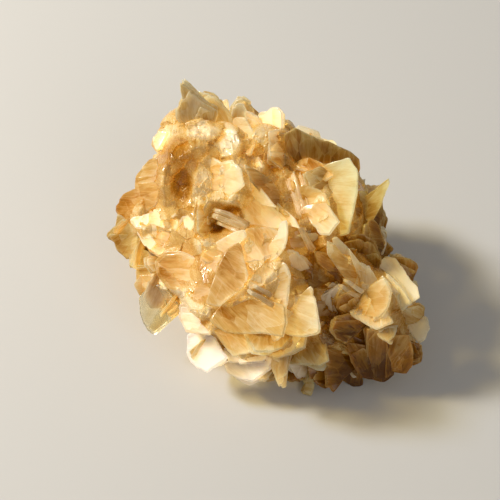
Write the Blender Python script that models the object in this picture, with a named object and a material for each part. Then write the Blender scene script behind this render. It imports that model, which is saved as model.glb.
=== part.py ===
"""Mica cluster: one intergrown mass of honey-coloured mica books, leaves and blades, the size of a walnut
and a half, resting on the flat break where it came away from its pocket.

Units are millimetres here and metres in Blender. +Z is up, the best face looks towards -Y and upwards, and
the origin is on the surface below the middle of the cluster.

The body is built from growth knots, which are round lumps of small grains. Crystals grow out of the knots.
The crystals of the display face are drawn one by one as outlines on a sketch plane, which faces an eye
above and in front of the cluster. A crystal's plane leans off the sketch plane, and the crystal sinks into
the knots by its root, so every one of them is carried. The crystals behind and below follow a spiral rule.
"""

import math

import bmesh
import bpy
import numpy as np
from mathutils import Euler, Matrix, Vector

NAME = "mica_cluster"
MM = 0.001

# The sketch plane and the eye that it faces.
EYE_ELEVATION = math.radians(52)
EYE_DISTANCE = 280.0
AIM = np.array([-3.2, 0.0, 14.0])

RIGHT = np.array([1.0, 0.0, 0.0])
UP = np.array([0.0, math.sin(EYE_ELEVATION), math.cos(EYE_ELEVATION)])
OUT = np.array([0.0, -math.cos(EYE_ELEVATION), math.sin(EYE_ELEVATION)])
EYE = AIM + EYE_DISTANCE * OUT

# Moves the finished cluster so that the middle of its box stands over the origin.
PLACE = (0.19, 0.232, 0.0)
HONEY = (0.62, 0.38, 0.13, 1.0)

# Growth knots: centre x, y, z and radius.
KNOTS = {
    "summit": (-8.0, 13.0, 23.5, 8.5),
    "upper_left": (-11.0, 9.0, 19.5, 12.0),
    "left": (-18.5, 5.5, 17.0, 7.5),
    "left_low": (-14.0, -3.5, 13.5, 6.5),
    "front": (-4.0, -6.0, 12.5, 13.0),
    "right_back": (8.0, 6.0, 16.5, 11.5),
    "neck": (11.5, -3.0, 12.5, 9.0),
    "right_lobe": (19.2, -9.0, 9.5, 7.2),
    "shoulder": (-14.0, 17.0, 25.0, 6.0),
    "crest": (0.5, 15.5, 25.0, 5.5),
    "front_foot": (-0.5, -15.0, 5.2, 6.2),
    "right_foot": (11.0, -13.0, 4.2, 6.5),
    "lobe_foot": (20.5, -13.5, 5.0, 6.0),
    "middle_foot": (3.0, -4.0, 5.5, 9.0),
    "back_foot": (-7.0, 9.0, 8.0, 10.5),
    "back_foot_right": (6.0, 6.0, 7.5, 9.5),
}

# Crystals of the display face: outline on the sketch plane as "right,up" pairs, lean off that plane and
# the direction in which it rises to the eye (degrees, 0 right and 90 up), thickness, how far it stands out.
CRYSTALS = {
    "summit_fin": ("-12.4,29.9 -10.8,29.5 -9.2,28.3 -7.7,26.8 "
                   "-8.3,24.1 -10.8,22.9 -13,23.9 -13.1,25.2 -12.2,27.4", 38, 95, 0.9, 0),
    "summit_shoulder": ("-9.4,28.4 -7.6,28.3 -5.8,27.2 -5,25.9 -6.8,23.4 -8.6,24.1", 33, 60, 1.0, 0),
    "summit_chip": ("-4.7,26.6 -4.1,27 -3.6,25.7 -3.8,24.1 -5,24.5", 18, 0, 1.0, 0),
    "round_lens_back": ("-3.4,24.1 -3.4,25.7 -2.5,27.2 -1.3,27.4 0,26.5 0.4,25 -0.5,23.6", 33, 90, 0.9, 0),
    "round_lens_front": ("-3.1,23.2 -3.1,25.6 -2.3,26.6 -1.3,26.5 -0.7,25.2 -1.1,23", 43, 80, 1.0, 1),
    "crest_saddle": ("-0.9,25 0.4,24.7 1.6,23.9 2.2,22.3 0,22.3", 33, 45, 1.2, 0),
    "crest_knob": ("1.6,22.7 2,24.3 3.2,24.7 3.8,25.4 5,25.7 5.9,24.8 6.1,23 5.9,21.6 3.6,21.1",
                   38, 0, 1.6, 0),
    "rim_scale_a": ("-14.6,23.2 -13.3,24.1 -11.9,23.8 -12.2,21.6 -14,21.2", 33, -30, 1.2, 0),
    "rim_scale_b": ("-15.7,23 -14.8,22.7 -13.9,21.4 -15.3,20.5 -16,21.8", 38, -30, 1.0, 0),
    "rim_scale_c": ("-17.1,20 -16,21.4 -14.4,21.2 -14.2,18.4 -16.6,17.8 -17.3,19.1", 38, -20, 1.1, 0),
    "rim_shelf": ("-9.7,23.4 -6.3,24.8 -3.2,22.7 -1.6,19.4 -2.5,17.5 -5,18.5 -8.1,20.9", 38, -60, 1.4, 1),
    "rim_brow": ("-14.4,21.4 -9.7,21.6 -6.8,20.5 -4.9,18.4 -6.5,18.9 -9.4,20.2 -13,20.2",
                 38, -80, 1.6, 1.5),
    "crest_left": ("-2.5,23.8 -0.4,23.4 1.3,19.8 0.2,17.3 -1.8,17.6", 43, 0, 1.4, 1),
    "crest_middle": ("-0.4,23.4 2.2,22.7 4.7,20.9 3.2,16.6 1.1,17.6 0.4,20.2", 43, 180, 1.4, 1),
    "crest_right": ("3.2,21.4 6.1,21.6 6.8,18.7 8.5,16 6.1,14.2 3.2,16.4", 47, 180, 1.3, 0.5),
    "pocket_roof": ("-14.4,20.2 -9,20.3 -6.5,19.3 -5.4,17.6 -7.9,15.5 -11.2,14.8 -14.4,15.7 -15.7,18",
                    47, 120, 1.2, 0),
    "pocket_left": ("-16.6,16.2 -14.4,15.8 -13,13.3 -14,9.7 -15.5,8.3 -16.6,11.5", 52, 180, 1.2, 0.5),
    "left_flank": ("-18,16.2 -16.6,16.6 -15.5,10.8 -16.9,7.9 -20.5,5.8 "
                   "-23,5.8 -23.9,7.6 -22.7,9.7 -20.5,10.8 -20.2,13.3", 43, 0, 1.2, 0.5),
    "left_flank_inner": ("-16.9,18 -15.5,17.6 -14,13 -15.5,9.4 -16.6,11.2 -17.3,14.8", 38, 0, 1.1, 1),
    "left_horn": ("-25.6,2.5 -23.9,4.3 -23.6,6.5 -21.6,5.4 -19.8,2.5 -20.2,0 -22,-1.4 -23.6,0 -24.5,2",
                  33, 30, 1.0, 0),
    "left_tab": ("-21.4,0 -19.4,1.1 -19.3,-2.9 -21.2,-2.9", 18, 0, 1.0, 0),
    "pocket_wall": ("-9.7,15.1 -6.8,16.9 -4.3,16.2 -1.1,15.1 -0.7,11.5 -4,9.7 -6.5,11.2 -8.3,13",
                    43, 0, 1.3, 0.5),
    "pocket_wall_low": ("-7.9,11.5 -4.3,10.4 -0.7,9.7 -1.1,6.8 -4,7.9 -7.6,9", 43, -30, 1.2, 0.5),
    "pocket_lens": ("-5.4,14.8 -3.2,15.5 -1.3,14 -2.2,12.4 -4.3,12.2", 33, 20, 1.2, 0.8),
    "pocket_floor": ("-11.5,9 -9.7,10.4 -7.2,9.7 -7.9,6.8 -9.7,5 -11.9,6.8", 33, -45, 1.2, 0.5),
    "glint_left": ("-18.2,6.5 -16.6,7.4 -15.3,3.8 -18,5", 43, 0, 1.0, 1.5),
    "glint_small": ("-15.1,7.2 -14,7.6 -13.1,6.1 -14.4,5.8", 43, 0, 0.9, 1.5),
    "glint_right": ("-11.9,6.7 -11,7.4 -9.5,5 -10.6,3.6 -11.5,4.3", 43, 0, 0.9, 1.5),
    "glint_low": ("-20,3.4 -18.5,3.2 -16.7,1.1 -17.8,0 -18.9,1.1", 43, 0, 0.9, 1.5),
    "cream_knob": ("-21.2,5.4 -19.8,6.1 -17.8,6.5 -18,4.7 -19.1,3.6 -20.5,4.3", 33, -30, 1.2, 1),
    "flank_inner": ("-18.4,7.6 -15.8,8.6 -13,7.9 -11.5,6.1 -13.3,3.2 -15.5,3.6 -18,5", 33, 0, 1.2, 0.5),
    "middle_left": ("-18.7,3.2 -16.2,4 -13.3,4.7 -11.5,3.2 -12.6,0.4 -16.2,-1.1 -18,0", 33, -20, 1.3, 0.5),
    "middle_tan": ("-13.3,5 -10.4,4.3 -9,2.2 -10.4,-0.4 -13.3,-0.7 -15.5,0", 33, 10, 1.2, 1),
    "amber_column": ("-9,9.7 -7.2,9 -6.8,5 -8.3,1.8 -9.7,3.2 -9.5,7.2", 52, 180, 1.2, 1),
    "grey_facets": ("-10.4,2.2 -6.8,1.4 -5,0.7 -6.5,-1.1 -7.9,-2.2 -9.7,0", 33, 90, 1.2, 0.5),
    "egg_lens": ("-16.6,-2.2 -15.1,-0.7 -12.2,-0.4 -9.4,-1.4 "
                 "-7.9,-3.6 -9,-6.5 -11.9,-7.4 -14.8,-6.5 -16.2,-4.3", 26, 0, 1.8, 1),
    "left_edge_strip": ("-20.2,0 -18.4,-0.4 -16.6,-2.2 -16.7,-5.4 -17.6,-7.4 -19.3,-8.1 -20,-6.5 -20.2,-3.2",
                        38, 0, 1.0, 0),
    "glass_plate": ("-19.8,-8.8 -18.4,-6.7 -16.2,-6.1 -14,-7.9 "
                    "-12.4,-11.2 -16.2,-14 -17.3,-14.8 -18.4,-13.9 -19.3,-11.7", 26, 60, 0.9, 0),
    "white_chip": ("-17.5,-4.3 -16.2,-4.7 -14.8,-7.2 -16.7,-6.5", 38, 0, 1.0, 1),
    "cream_bank": ("-14.8,-6.8 -11.9,-6.8 -9,-6.8 -6.8,-9 -7.2,-12.2 -9,-11.5 -11.9,-10.8 -14,-8.6",
                   33, -20, 1.5, 0.5),
    "cream_bank_low": ("-12.2,-10.1 -9,-10.4 -6.8,-11.9 -7.2,-15.1 -9.7,-14.8 -11.3,-14.4 -12.4,-11.9",
                       26, 0, 1.5, 0),
    "curl": ("-5,9 -2.2,9.5 -1.1,8.6 -1.8,6.8 -3.2,7.9", 33, 90, 1.0, 0.5),
    "glow_plate": ("-1.3,9 1.1,9.7 4,7.9 6.8,5.4 6.1,4 2.2,3.6 -0.4,4.7 -1.4,6.8", 33, 160, 1.0, 1),
    "ridge_strip_a": ("-1.8,14.8 -0.5,14.4 2.2,10.8 4.7,7.6 2.2,8.3 0,10.8 -1.6,13", 43, 0, 1.2, 2),
    "ridge_strip_b": ("1.8,10.4 4.7,8.3 8.3,5.6 9.2,3.8 6.5,4.7 3.6,7.6", 43, 0, 1.2, 2),
    "gutter_plate": ("-0.9,15.5 2.2,14 4.3,11.9 6.8,7.2 4.7,7.9 2.2,10.1 0,12.6", 52, 180, 1.2, 0.5),
    "gutter_knob": ("-0.2,16.7 1.4,16.9 2.7,15.1 2.2,13.9 0.5,14.2", 33, 0, 1.8, 0.8),
    "flame": ("6.7,5.4 7,3.2 6.3,0.4 4.3,-1.4 3.1,-1.8 3.8,0.7 5.2,3.2 5.8,5", 47, 0, 1.2, 2),
    "peach_plate": ("-2.9,1.8 -0.7,3.4 3.2,3.8 6.1,2.9 4.7,-0.7 2.2,-2.5 -1.1,-2.3 -2.5,-0.4",
                    26, -90, 1.2, 1),
    "finger": ("-2.5,3.2 -0.9,3.6 -0.5,2.5 -1.8,1.3 -5,-1.1 -7.6,-2.2 -8.6,-1.4 -5.8,1.1",
               33, 60, 1.8, 1.5),
    "orange_sail": ("-2.2,1.1 -1.1,-2.2 -0.2,-4.5 -0.7,-6.3 -3.4,-8.5 "
                    "-5.6,-10.1 -7.7,-9.5 -6.8,-7 -5,-2.5 -3.6,0", 26, 160, 1.2, 2),
    "cream_strip": ("-8.5,-1.4 -5,-0.7 -6.1,-4.7 -7.9,-9.7 -9.7,-9.4 -9,-5.4", 38, 0, 1.3, 1),
    "pale_wing": ("-0.7,-2.5 2.2,-2.2 5.8,-1.4 4,-4.3 2.2,-6.5 0,-7.2 -0.5,-5", 33, -60, 1.1, 1),
    "right_shade": ("6.8,5 8.6,4.3 10.8,1.8 11.3,-1.1 9.7,-1.4 7.6,0 6.5,1.8", 43, 180, 1.2, 1),
    "grey_fan": ("6.1,0 7.6,0 9.7,-1.4 10.8,-3.2 9,-4 6.8,-2.9 5.4,-2.2", 33, 120, 1.0, 1),
    "front_fan": ("-6.8,-12.6 -5,-10.4 -1.8,-9 2.2,-9 6.3,-10.1 "
                  "6.8,-13 6.1,-15.8 2.2,-14.8 -1.3,-14.9 -4.3,-14.4", 26, -90, 1.3, 1),
    "front_scale": ("-1.3,-14.4 2.2,-13.7 6.1,-14 7.2,-15.5 5.8,-17.5 3.2,-18.7 0.7,-18.4",
                    33, -100, 1.0, 2),
    "lower_tan": ("-6.5,-13.7 -4,-14 -1.1,-14.8 0.4,-18.4 -2.9,-19.1 -4.3,-17.3", 26, -45, 1.2, 0.5),
    "tall_blade": ("6.1,-2.2 6.8,-2.9 7.4,-4.5 7,-8.1 6.5,-11.7 5.4,-15.7 4.7,-16.2 3.8,-13 4.5,-8.1 5.6,-4",
                   26, 0, 1.4, 2.5),
    "amber_gap": ("1.4,-7.2 3.2,-4.3 5.8,-2.5 5.4,-6.1 4.3,-9.4 2.2,-9", 38, 180, 1.1, 0),
    "gold_plate": ("6.1,-9 9.4,-8.3 11,-6.7 12.1,-10.4 13,-15.1 9.7,-15.7 6.1,-14.9 6.5,-11.9",
                   26, -20, 1.4, 2),
    "gold_upper": ("7.4,-3.2 9,-2.9 9.7,-5.4 11,-6.5 10.1,-9.4 7.4,-9.4", 33, 180, 1.2, 1),
    "tongue": ("2.2,-18 6.1,-16.9 8.6,-14.8 10.1,-15.8 10.1,-17.5 7.6,-18.7 4.7,-19.4", 33, -60, 1.0, 1.5),
    "gold_corner": ("6.8,-19.1 9.9,-18 10.3,-15.8 13,-15.3 14.4,-20 12.8,-21.1 10.1,-20.5 7.2,-20.3",
                    33, -60, 1.3, 1),
    "fang": ("3.8,-18.7 7.2,-18 6.7,-21.2 5.9,-24.5 5.2,-24.8 4.3,-22.3", 18, -90, 1.8, 1),
    "white_petal": ("-10.8,-15.5 -8.3,-14.4 -6.5,-15.5 -5,-18.2 "
                    "-4,-19.4 -6.1,-20.9 -7.7,-21.8 -10.1,-20.3 -11,-18.4", 33, 10, 1.2, 0),
    "grey_petal": ("-4.3,-19.8 -0.7,-18.7 2.5,-18.7 4.1,-19.4 3.6,-21.6 0.4,-23.8 -1.8,-23 -3.8,-21.8",
                   33, -30, 1.2, 0),
    "grey_petal_upper": ("-4.3,-18 -0.4,-18 4,-18.7 2.5,-20.2 -1.8,-20.5 -4,-20", 26, -90, 1.2, 1),
    "petal_chip": ("0.9,-23 2.2,-20.9 4,-21.2 3.1,-23.4 2,-23.9", 26, -90, 1.0, 0),
    "grey_triangle": ("6.5,-20.2 10.4,-20.5 9.9,-22.7 8.6,-22.9", 26, 180, 1.0, 0),
    "brown_petal": ("6.1,-21.2 10.1,-21.2 9.7,-23.4 7.6,-23.9 6.3,-23.4", 26, -90, 1.2, -2),
    "hook": ("9.4,-21.6 11.9,-22 11.5,-24.8 11,-26.1 9.7,-25.4 10.1,-24.1", 18, 0, 1.2, -1),
    "low_petal_left": ("10.1,-20.2 13,-20.5 14,-22 13.7,-24.5 12.2,-24.1 10.8,-23", 26, 180, 1.2, 0),
    "low_petal": ("13.7,-17.6 17.3,-18.4 18.7,-20.9 16.7,-23 14.9,-25.4 13.7,-24.7 13.3,-21.6",
                  26, 170, 1.3, 0),
    "low_petal_back": ("15.8,-19.8 20.2,-20.9 19.8,-24.1 18.7,-24.1 16.7,-23", 18, 90, 1.2, -1.5),
    "gap_plate": ("11.9,-9 14.4,-9.7 15.8,-12.6 15.1,-16.9 13,-15.8 12.2,-12.6", 43, 180, 1.2, 0),
    "gap_plate_low": ("12.2,-15.1 15.5,-15.8 18.4,-19.1 16.2,-20.5 14,-18.7", 33, 150, 1.2, 0),
    "grey_tent": ("11.9,-8.5 15.8,-6.3 16.6,-7 16.4,-9.5 15.5,-11.2 13.7,-10.1 12.2,-9.2",
                  33, 60, 1.2, 1.5),
    "amber_shelf": ("15.8,-8.3 18.7,-7.2 21.2,-8.3 20.2,-10.8 16.9,-11.2 15.7,-10.4", 33, 120, 1.2, 0.5),
    "amber_wedge": ("15.1,-11.9 18,-11.5 20.9,-12.8 19.1,-14.8 17.1,-16.6 15.5,-15.8 14.4,-14",
                    26, 150, 1.2, 1),
    "neck_plate": ("9,-2.9 12.2,-2 14.6,-3.6 14,-5.4 11.2,-6.8 9.4,-5.8", 33, 160, 1.2, 0),
    "arm": ("13.7,1.8 15.5,2.5 17.6,0.5 19.4,-2 21.4,-3.1 22.7,-6.1 20.9,-7.9 18.4,-6.1 15.8,-3.2 13.9,-0.7",
            38, 150, 2.2, 2),
    "arm_under": ("11.3,0 14,-0.7 17.6,-4.7 19.8,-7.6 18,-7.6 14.8,-4.3 12.2,-2.3", 43, 150, 1.4, 0),
    "lobe_crown": ("23.4,-2.5 24.5,-1.6 25.9,-1.8 27.4,-3.6 28.8,-5.6 "
                   "30.1,-6.7 30.6,-8.6 29.3,-9.4 27.7,-7.4 26.3,-5.9 24.7,-4.7", 38, -120, 1.6, 1),
    "lobe_face": ("24.7,-4.3 26.6,-5.9 28.1,-7.4 29.3,-9.4 27.5,-10.6 25.6,-9.9 24.8,-7.2",
                  38, 30, 1.3, 0.5),
    "lobe_left": ("19.4,-8.6 21.6,-6.8 24.1,-5 25.4,-7.2 25,-10.4 23.4,-12.2 20.5,-11.9 19.1,-10.4",
                  38, 0, 1.6, 1.5),
    "lobe_lip": ("18.2,-11.2 20.9,-10.8 24.5,-11 25.7,-13 22.7,-14.4 20.5,-13", 38, -90, 1.4, 1.5),
    "lobe_side": ("25.6,-9.9 27.7,-10.4 30.2,-9.7 31,-10.4 30.8,-12.2 28.4,-13.1 26.3,-12.1",
                  33, 150, 1.3, 0),
    "lobe_back_plate": ("24.1,-1.1 27,-1.3 28.8,-1.6 29.9,-2.5 30.1,-3.2 28.6,-5.8 26.3,-4.7",
                        18, 90, 1.0, 0),
    "lobe_tab": ("27.7,-5.4 29.7,-5.4 30.1,-6.3 29.2,-7.6", 18, 90, 1.0, 0),
    "pearl_knob": ("28.4,-14 30.1,-12.4 31.7,-12.6 32.2,-13.9 31.7,-15.3 30.4,-16.7 28.8,-16.2",
                   33, 0, 1.4, 0),
    "tail": ("22.7,-13.5 26.3,-13.5 25.9,-15.5 24.7,-16.9 23.2,-15.5", 33, -90, 1.2, 1),
    "lobe_petal_a": ("20.9,-14 24.8,-14.4 25.9,-18 25.4,-22.3 24.1,-23.2 22.5,-22.9 21.2,-19.1",
                     26, 90, 1.2, 0),
    "lobe_petal_b": ("24.8,-15.1 28.8,-15.1 29.3,-18 29,-20.5 27.9,-21.8 25.9,-21.4 24.7,-18.4",
                     26, 60, 1.2, 0.5),
    "lobe_petal_c": ("27.7,-16.2 30.4,-16.6 31.1,-18.5 30.6,-20 29.2,-20.3", 18, 30, 1.2, -0.5),
    "lobe_petal_d": ("17.3,-16.6 20.9,-17.3 22.3,-20.2 22.5,-22.9 20.2,-22.9 18.4,-20.2", 26, 120, 1.2, 0),
    "shadow_plate": ("6.1,20.9 8.1,22.1 10.8,20.7 14.4,19.3 18,17.5 "
                     "19.4,16.2 19.4,14.4 17.3,12.6 12.6,14 9,15.8 6.5,18", 33, 90, 1.1, -1),
    "pale_sail": ("13.7,14.8 18,16.6 19.4,14.8 19.6,13.7 19.3,9.9 18,2.9 16.2,2.5 14.8,7.2 14.2,11.2",
                  33, 0, 1.2, 1),
    "olive_window": ("9.7,14 12.6,14.9 15.1,13.3 14,10.6 11.5,10.4 10.3,12.2", 33, 180, 1.1, 1),
    "brow": ("6.5,18 9,17.5 11.5,16.2 14,14.9 15.5,13.5 13.7,12.2 10.4,14 7.2,15.1", 33, -60, 1.2, 1.5),
    "step_plate": ("9.5,11.2 11.9,10.8 13.7,10.3 14.6,8.3 14.2,7 11.2,7.6 9.7,9.4", 33, 0, 1.2, 2),
    "cream_fan": ("10.1,7.9 13,8.1 14.8,7.2 16.2,5.4 14.4,2.9 11.9,3.2 9.9,5.8", 33, -20, 1.2, 2.5),
    "olive_back": ("18.9,10.4 20.2,10.8 21.2,9.7 23.4,9 23.6,6.5 22.7,3.2 20.2,1.4 17.6,2.9 18.4,6.8",
                   26, 150, 1.2, 0),
    "spike": ("20.5,9.4 22.7,11 24.8,12.8 25.4,12.2 24.3,10.4 23.6,8.1 22,6.5", 26, 30, 1.3, 0.5),
    "olive_leaf": ("20.5,5 21.8,5.9 22.9,4.7 24.5,-0.7 23,-1.8 21.2,0 20,2.2", 26, 160, 1.2, 1),
    "olive_low": ("16.9,1.4 19.4,2.2 22,1.1 23.6,-1.4 22.5,-4.1 20.2,-3.2 18,-1.1", 33, 100, 1.2, 0),
    "scallop_high": ("22.7,8.3 23.6,7.6 24.5,5.6 23.8,3.8 21.6,4.7", 18, 90, 1.3, -2),
    "scallop_low": ("22.7,4.3 24.7,3.1 24.3,1.6 25.6,0.2 24.7,-0.7 22,0.7", 18, 60, 1.3, -2),
}

# Books seen on edge: the two ends on the sketch plane, thickness, depth, how far they stand out.
BOOKS = {
    "pick_upper": ((0, 4.3), (-6.7, 7.6), 1.1, 5.0, 2.0),
    "pick_middle": ((-0.5, 3.8), (-7.2, 6.3), 1.2, 5.0, 2.5),
    "pick_lower": ((-1.8, 3.4), (-6.3, 5.2), 1.0, 4.0, 2.0),
    "stick_upper": ((4, -8.5), (0.5, -6.1), 0.9, 4.0, 2.5),
    "stick_lower": ((4.5, -9.9), (-0.7, -7.4), 0.9, 4.0, 3.0),
    "gutter_a": ((9.4, 5.8), (6.5, 14), 1.3, 6.0, 1.5),
    "gutter_b": ((10.4, 4.7), (7.7, 14.4), 1.2, 6.0, 2.2),
    "gutter_c": ((11.3, 4.3), (9, 14), 1.2, 6.0, 1.8),
    "gutter_d": ((11.5, -0.4), (8.3, 5.8), 1.3, 6.0, 2.0),
    "arm_stick_a": ((20.5, -7.7), (16.9, -5), 0.9, 4.0, 2.5),
    "arm_stick_b": ((19.8, -8.5), (15.8, -6.1), 0.9, 4.0, 1.5),
}

SINK = 1.8  # how deep a crystal's root goes into the knots
PROBE_RINGS = (0.0, 0.35, 0.7)  # how far in from the outline a crystal's depth is tried
KNOT_RINGS = 6  # a knot's bands of faces from pole to pole
KNOT_UNEVEN = 0.05  # how far a knot's corners stand in or out, as a share of its radius
BASE_SKIRT = 40.0  # half the side of the block that cuts the base flat

# Leaves behind and below: places on a spiral over a ball about the centre, and what a leaf there keeps to.
BACK_COUNT = 215
BACK_CENTRE = np.array([0.0, 2.0, 12.0])
BACK_EDGE = 0.15  # the most that a place may face the eye, as a cosine
BACK_LOWEST = 2.0  # lowest root
BACK_CLEARANCE = 0.5  # lowest corner
BACK_REACH = 25.0  # farthest corner behind
BACK_RISE = 1.0  # how far a corner may come nearer to the eye than its root
BACK_PEEP = 0.8  # the share of a leaf that the display face hides
BACK_TRIES = 8  # turns tried at each place
BACK_LEAF = ((-0.5, -0.3), (0.1, -0.5), (0.75, -0.42), (1.0, 0.05), (0.8, 0.45), (0.15, 0.5), (-0.5, 0.3))


def unit(vector):
    return vector / np.linalg.norm(vector)


def sketch_rays(outline):
    """Unit directions from the eye through points of the sketch plane."""
    across, above = np.asarray(outline, float).T
    rays = AIM + across[:, None] * RIGHT + above[:, None] * UP - EYE
    return rays / np.linalg.norm(rays, axis=1)[:, None]


def knot_relief(rays):
    """Height over the sketch plane at which each ray meets the knots, or minus infinity where it misses."""
    highest = np.full(len(rays), -np.inf)
    for x, y, z, radius in KNOTS.values():
        gap = EYE - np.array([x, y, z])
        half = rays @ gap
        room = half**2 - (gap @ gap - radius**2)
        reach = -half - np.sqrt(np.maximum(room, 0))
        height = (EYE + reach[:, None] * rays - AIM) @ OUT
        highest = np.where(room > 0, np.maximum(highest, height), highest)
    return highest


def on_plane(rays, point, normal):
    """Points where the rays meet a plane."""
    reach = ((point - EYE) @ normal) / (rays @ normal)
    return EYE + reach[:, None] * rays


def crystal_plane(outline, lean, toward, pull):
    """Corner points of a crystal in its own plane, sunk into the knots by its root, and the plane's normal."""
    rays = sketch_rays(outline)
    slope = math.tan(math.radians(lean))
    rise = math.cos(math.radians(toward)) * RIGHT + math.sin(math.radians(toward)) * UP
    normal = unit(OUT - slope * rise)
    middle = unit(rays.mean(axis=0))
    start = EYE + middle * EYE_DISTANCE
    probes = np.concatenate([rays + share * (middle - rays) for share in PROBE_RINGS])
    probes /= np.linalg.norm(probes, axis=1)[:, None]
    relief = knot_relief(probes)
    over = np.isfinite(relief)
    clearance = (on_plane(probes[over], start, normal) - AIM) @ OUT - relief[over]
    lift = pull - SINK - clearance.min()
    return on_plane(rays, start - middle * lift, normal), normal


def prism(name, corners, along, thickness):
    """A closed plate: the corners' polygon thickened by the same amount on both sides."""
    mesh = bmesh.new()
    half = 0.5 * thickness * along
    ring = [mesh.verts.new(Vector(c - half) * MM) for c in corners]
    lid = mesh.faces.new(ring)
    grown = bmesh.ops.extrude_face_region(mesh, geom=[lid])
    moved = [v for v in grown["geom"] if isinstance(v, bmesh.types.BMVert)]
    bmesh.ops.translate(mesh, verts=moved, vec=Vector(2 * half) * MM)
    bmesh.ops.recalc_face_normals(mesh, faces=mesh.faces)
    return finished(name, mesh)


def finished(name, mesh):
    data = bpy.data.meshes.new(name)
    mesh.to_mesh(data)
    mesh.free()
    return bpy.data.objects.new(name, data)


def knot(name, x, y, z, radius):
    """A growth knot: a coarse ball with uneven facets, turned so that no two knots share them."""
    mesh = bmesh.new()
    rings = {"u_segments": 2 * KNOT_RINGS, "v_segments": KNOT_RINGS}
    bmesh.ops.create_uvsphere(mesh, **rings, radius=radius * MM)
    for vertex in mesh.verts:
        vertex.co *= 1 + KNOT_UNEVEN * math.sin(2.4 * vertex.index + radius)
    bmesh.ops.triangulate(mesh, faces=mesh.faces)
    turn = Euler((0.3 * x, 0.2 * y, 0.25 * z)).to_matrix().to_4x4()
    place = Matrix.Translation(Vector((x, y, z)) * MM)
    bmesh.ops.transform(mesh, verts=mesh.verts, matrix=place @ turn)
    return finished(name, mesh)


def book(name, end, start, thickness, depth, stand_out):
    """A book on edge: a strip that runs between two grid points and goes straight back into the body."""
    rays = sketch_rays([end, start])
    heights = knot_relief(rays)
    heights = np.where(np.isfinite(heights), heights, heights[np.isfinite(heights)].min()) + stand_out
    front = EYE + rays * ((EYE_DISTANCE - heights) / -(rays @ OUT))[:, None]
    run = front[1] - front[0]
    tip = front[1] - 0.15 * run
    back = front - depth * OUT
    corners = np.array([front[0], tip, front[1] - 0.3 * depth * OUT, back[1], back[0]])
    return prism(name, corners, unit(np.cross(run, OUT)), thickness)


def back_crystals():
    """Leaves behind and below, on a golden spiral over the side that the display face doesn't cover."""
    leaves = []
    for k in range(BACK_COUNT):
        height = 1 - 2 * (k + 0.5) / BACK_COUNT
        turn = math.pi * (3 - math.sqrt(5)) * k
        flat = math.sqrt(1 - height**2)
        foot, outward = body_surface(np.array([flat * math.cos(turn), flat * math.sin(turn), height]))
        if outward @ OUT > BACK_EDGE or foot[2] < BACK_LOWEST:
            continue
        size = k * math.sqrt(2) % 1
        for attempt in range(BACK_TRIES):
            swing = math.sqrt(3) * k + 2 * math.pi * attempt / BACK_TRIES
            corners, normal = leaf(foot, outward, swing, size)
            low, far, high = corners[:, 2].min(), corners[:, 1].max(), ((corners - foot) @ OUT).max()
            if low < BACK_CLEARANCE or far > BACK_REACH or high > BACK_RISE:
                continue
            if hidden(foot + BACK_PEEP * (corners - foot)):
                leaves.append((f"back_leaf_{k:03d}", corners, normal, 1.0 + 0.6 * size))
                break
    return leaves


def leaf(foot, outward, swing, size):
    """Corners and normal of one leaf: it grows out of the body at a slant, turned by the swing."""
    side = unit(np.cross(outward, [0.3, 0.2, 1.0]))
    sway = math.cos(swing) * side + math.sin(swing) * np.cross(outward, side)
    axis = unit(outward + (0.4 + 0.6 * size) * sway)
    across = unit(np.cross(axis, outward) + 1.2 * (size - 0.5) * sway)
    length = 6.0 + 3.0 * size
    width = 10.5 - 4.0 * size
    corners = np.array([foot + length * a * axis + width * b * across for a, b in BACK_LEAF])
    return corners, unit(np.cross(axis, across))


def body_surface(direction):
    """The last point where a line from the middle leaves the knots, and the way out there."""
    best, outward = 0.0, direction
    for x, y, z, radius in KNOTS.values():
        gap = BACK_CENTRE - np.array([x, y, z])
        half = direction @ gap
        room = half**2 - (gap @ gap - radius**2)
        if room > 0 and -half + math.sqrt(room) > best:
            best = -half + math.sqrt(room)
            outward = unit(gap + best * direction)
    return BACK_CENTRE + best * direction, outward


def hidden(points):
    """Whether the knots and the crystals of the display face hide every one of these points from the eye."""
    rays = points - EYE
    rays /= np.linalg.norm(rays, axis=1)[:, None]
    covered = np.isfinite(knot_relief(rays))
    spots = on_plane(rays, AIM, OUT) - AIM
    for text, *_ in CRYSTALS.values():
        covered |= inside(outline_of(text), spots @ RIGHT, spots @ UP)
    return covered.all()


def inside(outline, across, above):
    """Which sketch points lie in an outline: those with an odd number of its sides to their right."""
    odd = np.zeros(len(across), bool)
    for (x0, y0), (x1, y1) in zip(outline, outline[1:] + outline[:1]):
        if y0 != y1:
            crosses = (y0 > above) != (y1 > above)
            odd ^= crosses & (across < x0 + (above - y0) * (x1 - x0) / (y1 - y0))
    return odd


def outline_of(text):
    return [tuple(float(v) for v in pair.split(",")) for pair in text.split()]


def pieces():
    """Every lump and crystal as a closed body."""
    made = [knot(name, *place) for name, place in KNOTS.items()]
    for name, (text, lean, toward, thickness, pull) in CRYSTALS.items():
        corners, normal = crystal_plane(outline_of(text), lean, toward, pull)
        made.append(prism(name, corners, normal, thickness))
    made += [book(name, *facts) for name, facts in BOOKS.items()]
    made += [prism(*leaf) for leaf in back_crystals()]
    return made


def grown_together(made, helpers):
    """One object from all the bodies, cut flat below."""
    first, *others = made
    grown = bpy.data.objects.new(NAME, first.data)
    for body in others:
        helpers.objects.link(body)
    join = grown.modifiers.new("Grown together", "BOOLEAN")
    join.operand_type = "COLLECTION"
    join.collection = helpers
    join.operation = "UNION"
    join.solver = "EXACT"
    return grown


def break_base(grown, block):
    """Cuts off what lies below the ground."""
    cut = grown.modifiers.new("Broken base", "BOOLEAN")
    cut.operation = "DIFFERENCE"
    cut.solver = "EXACT"
    cut.object = block


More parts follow.
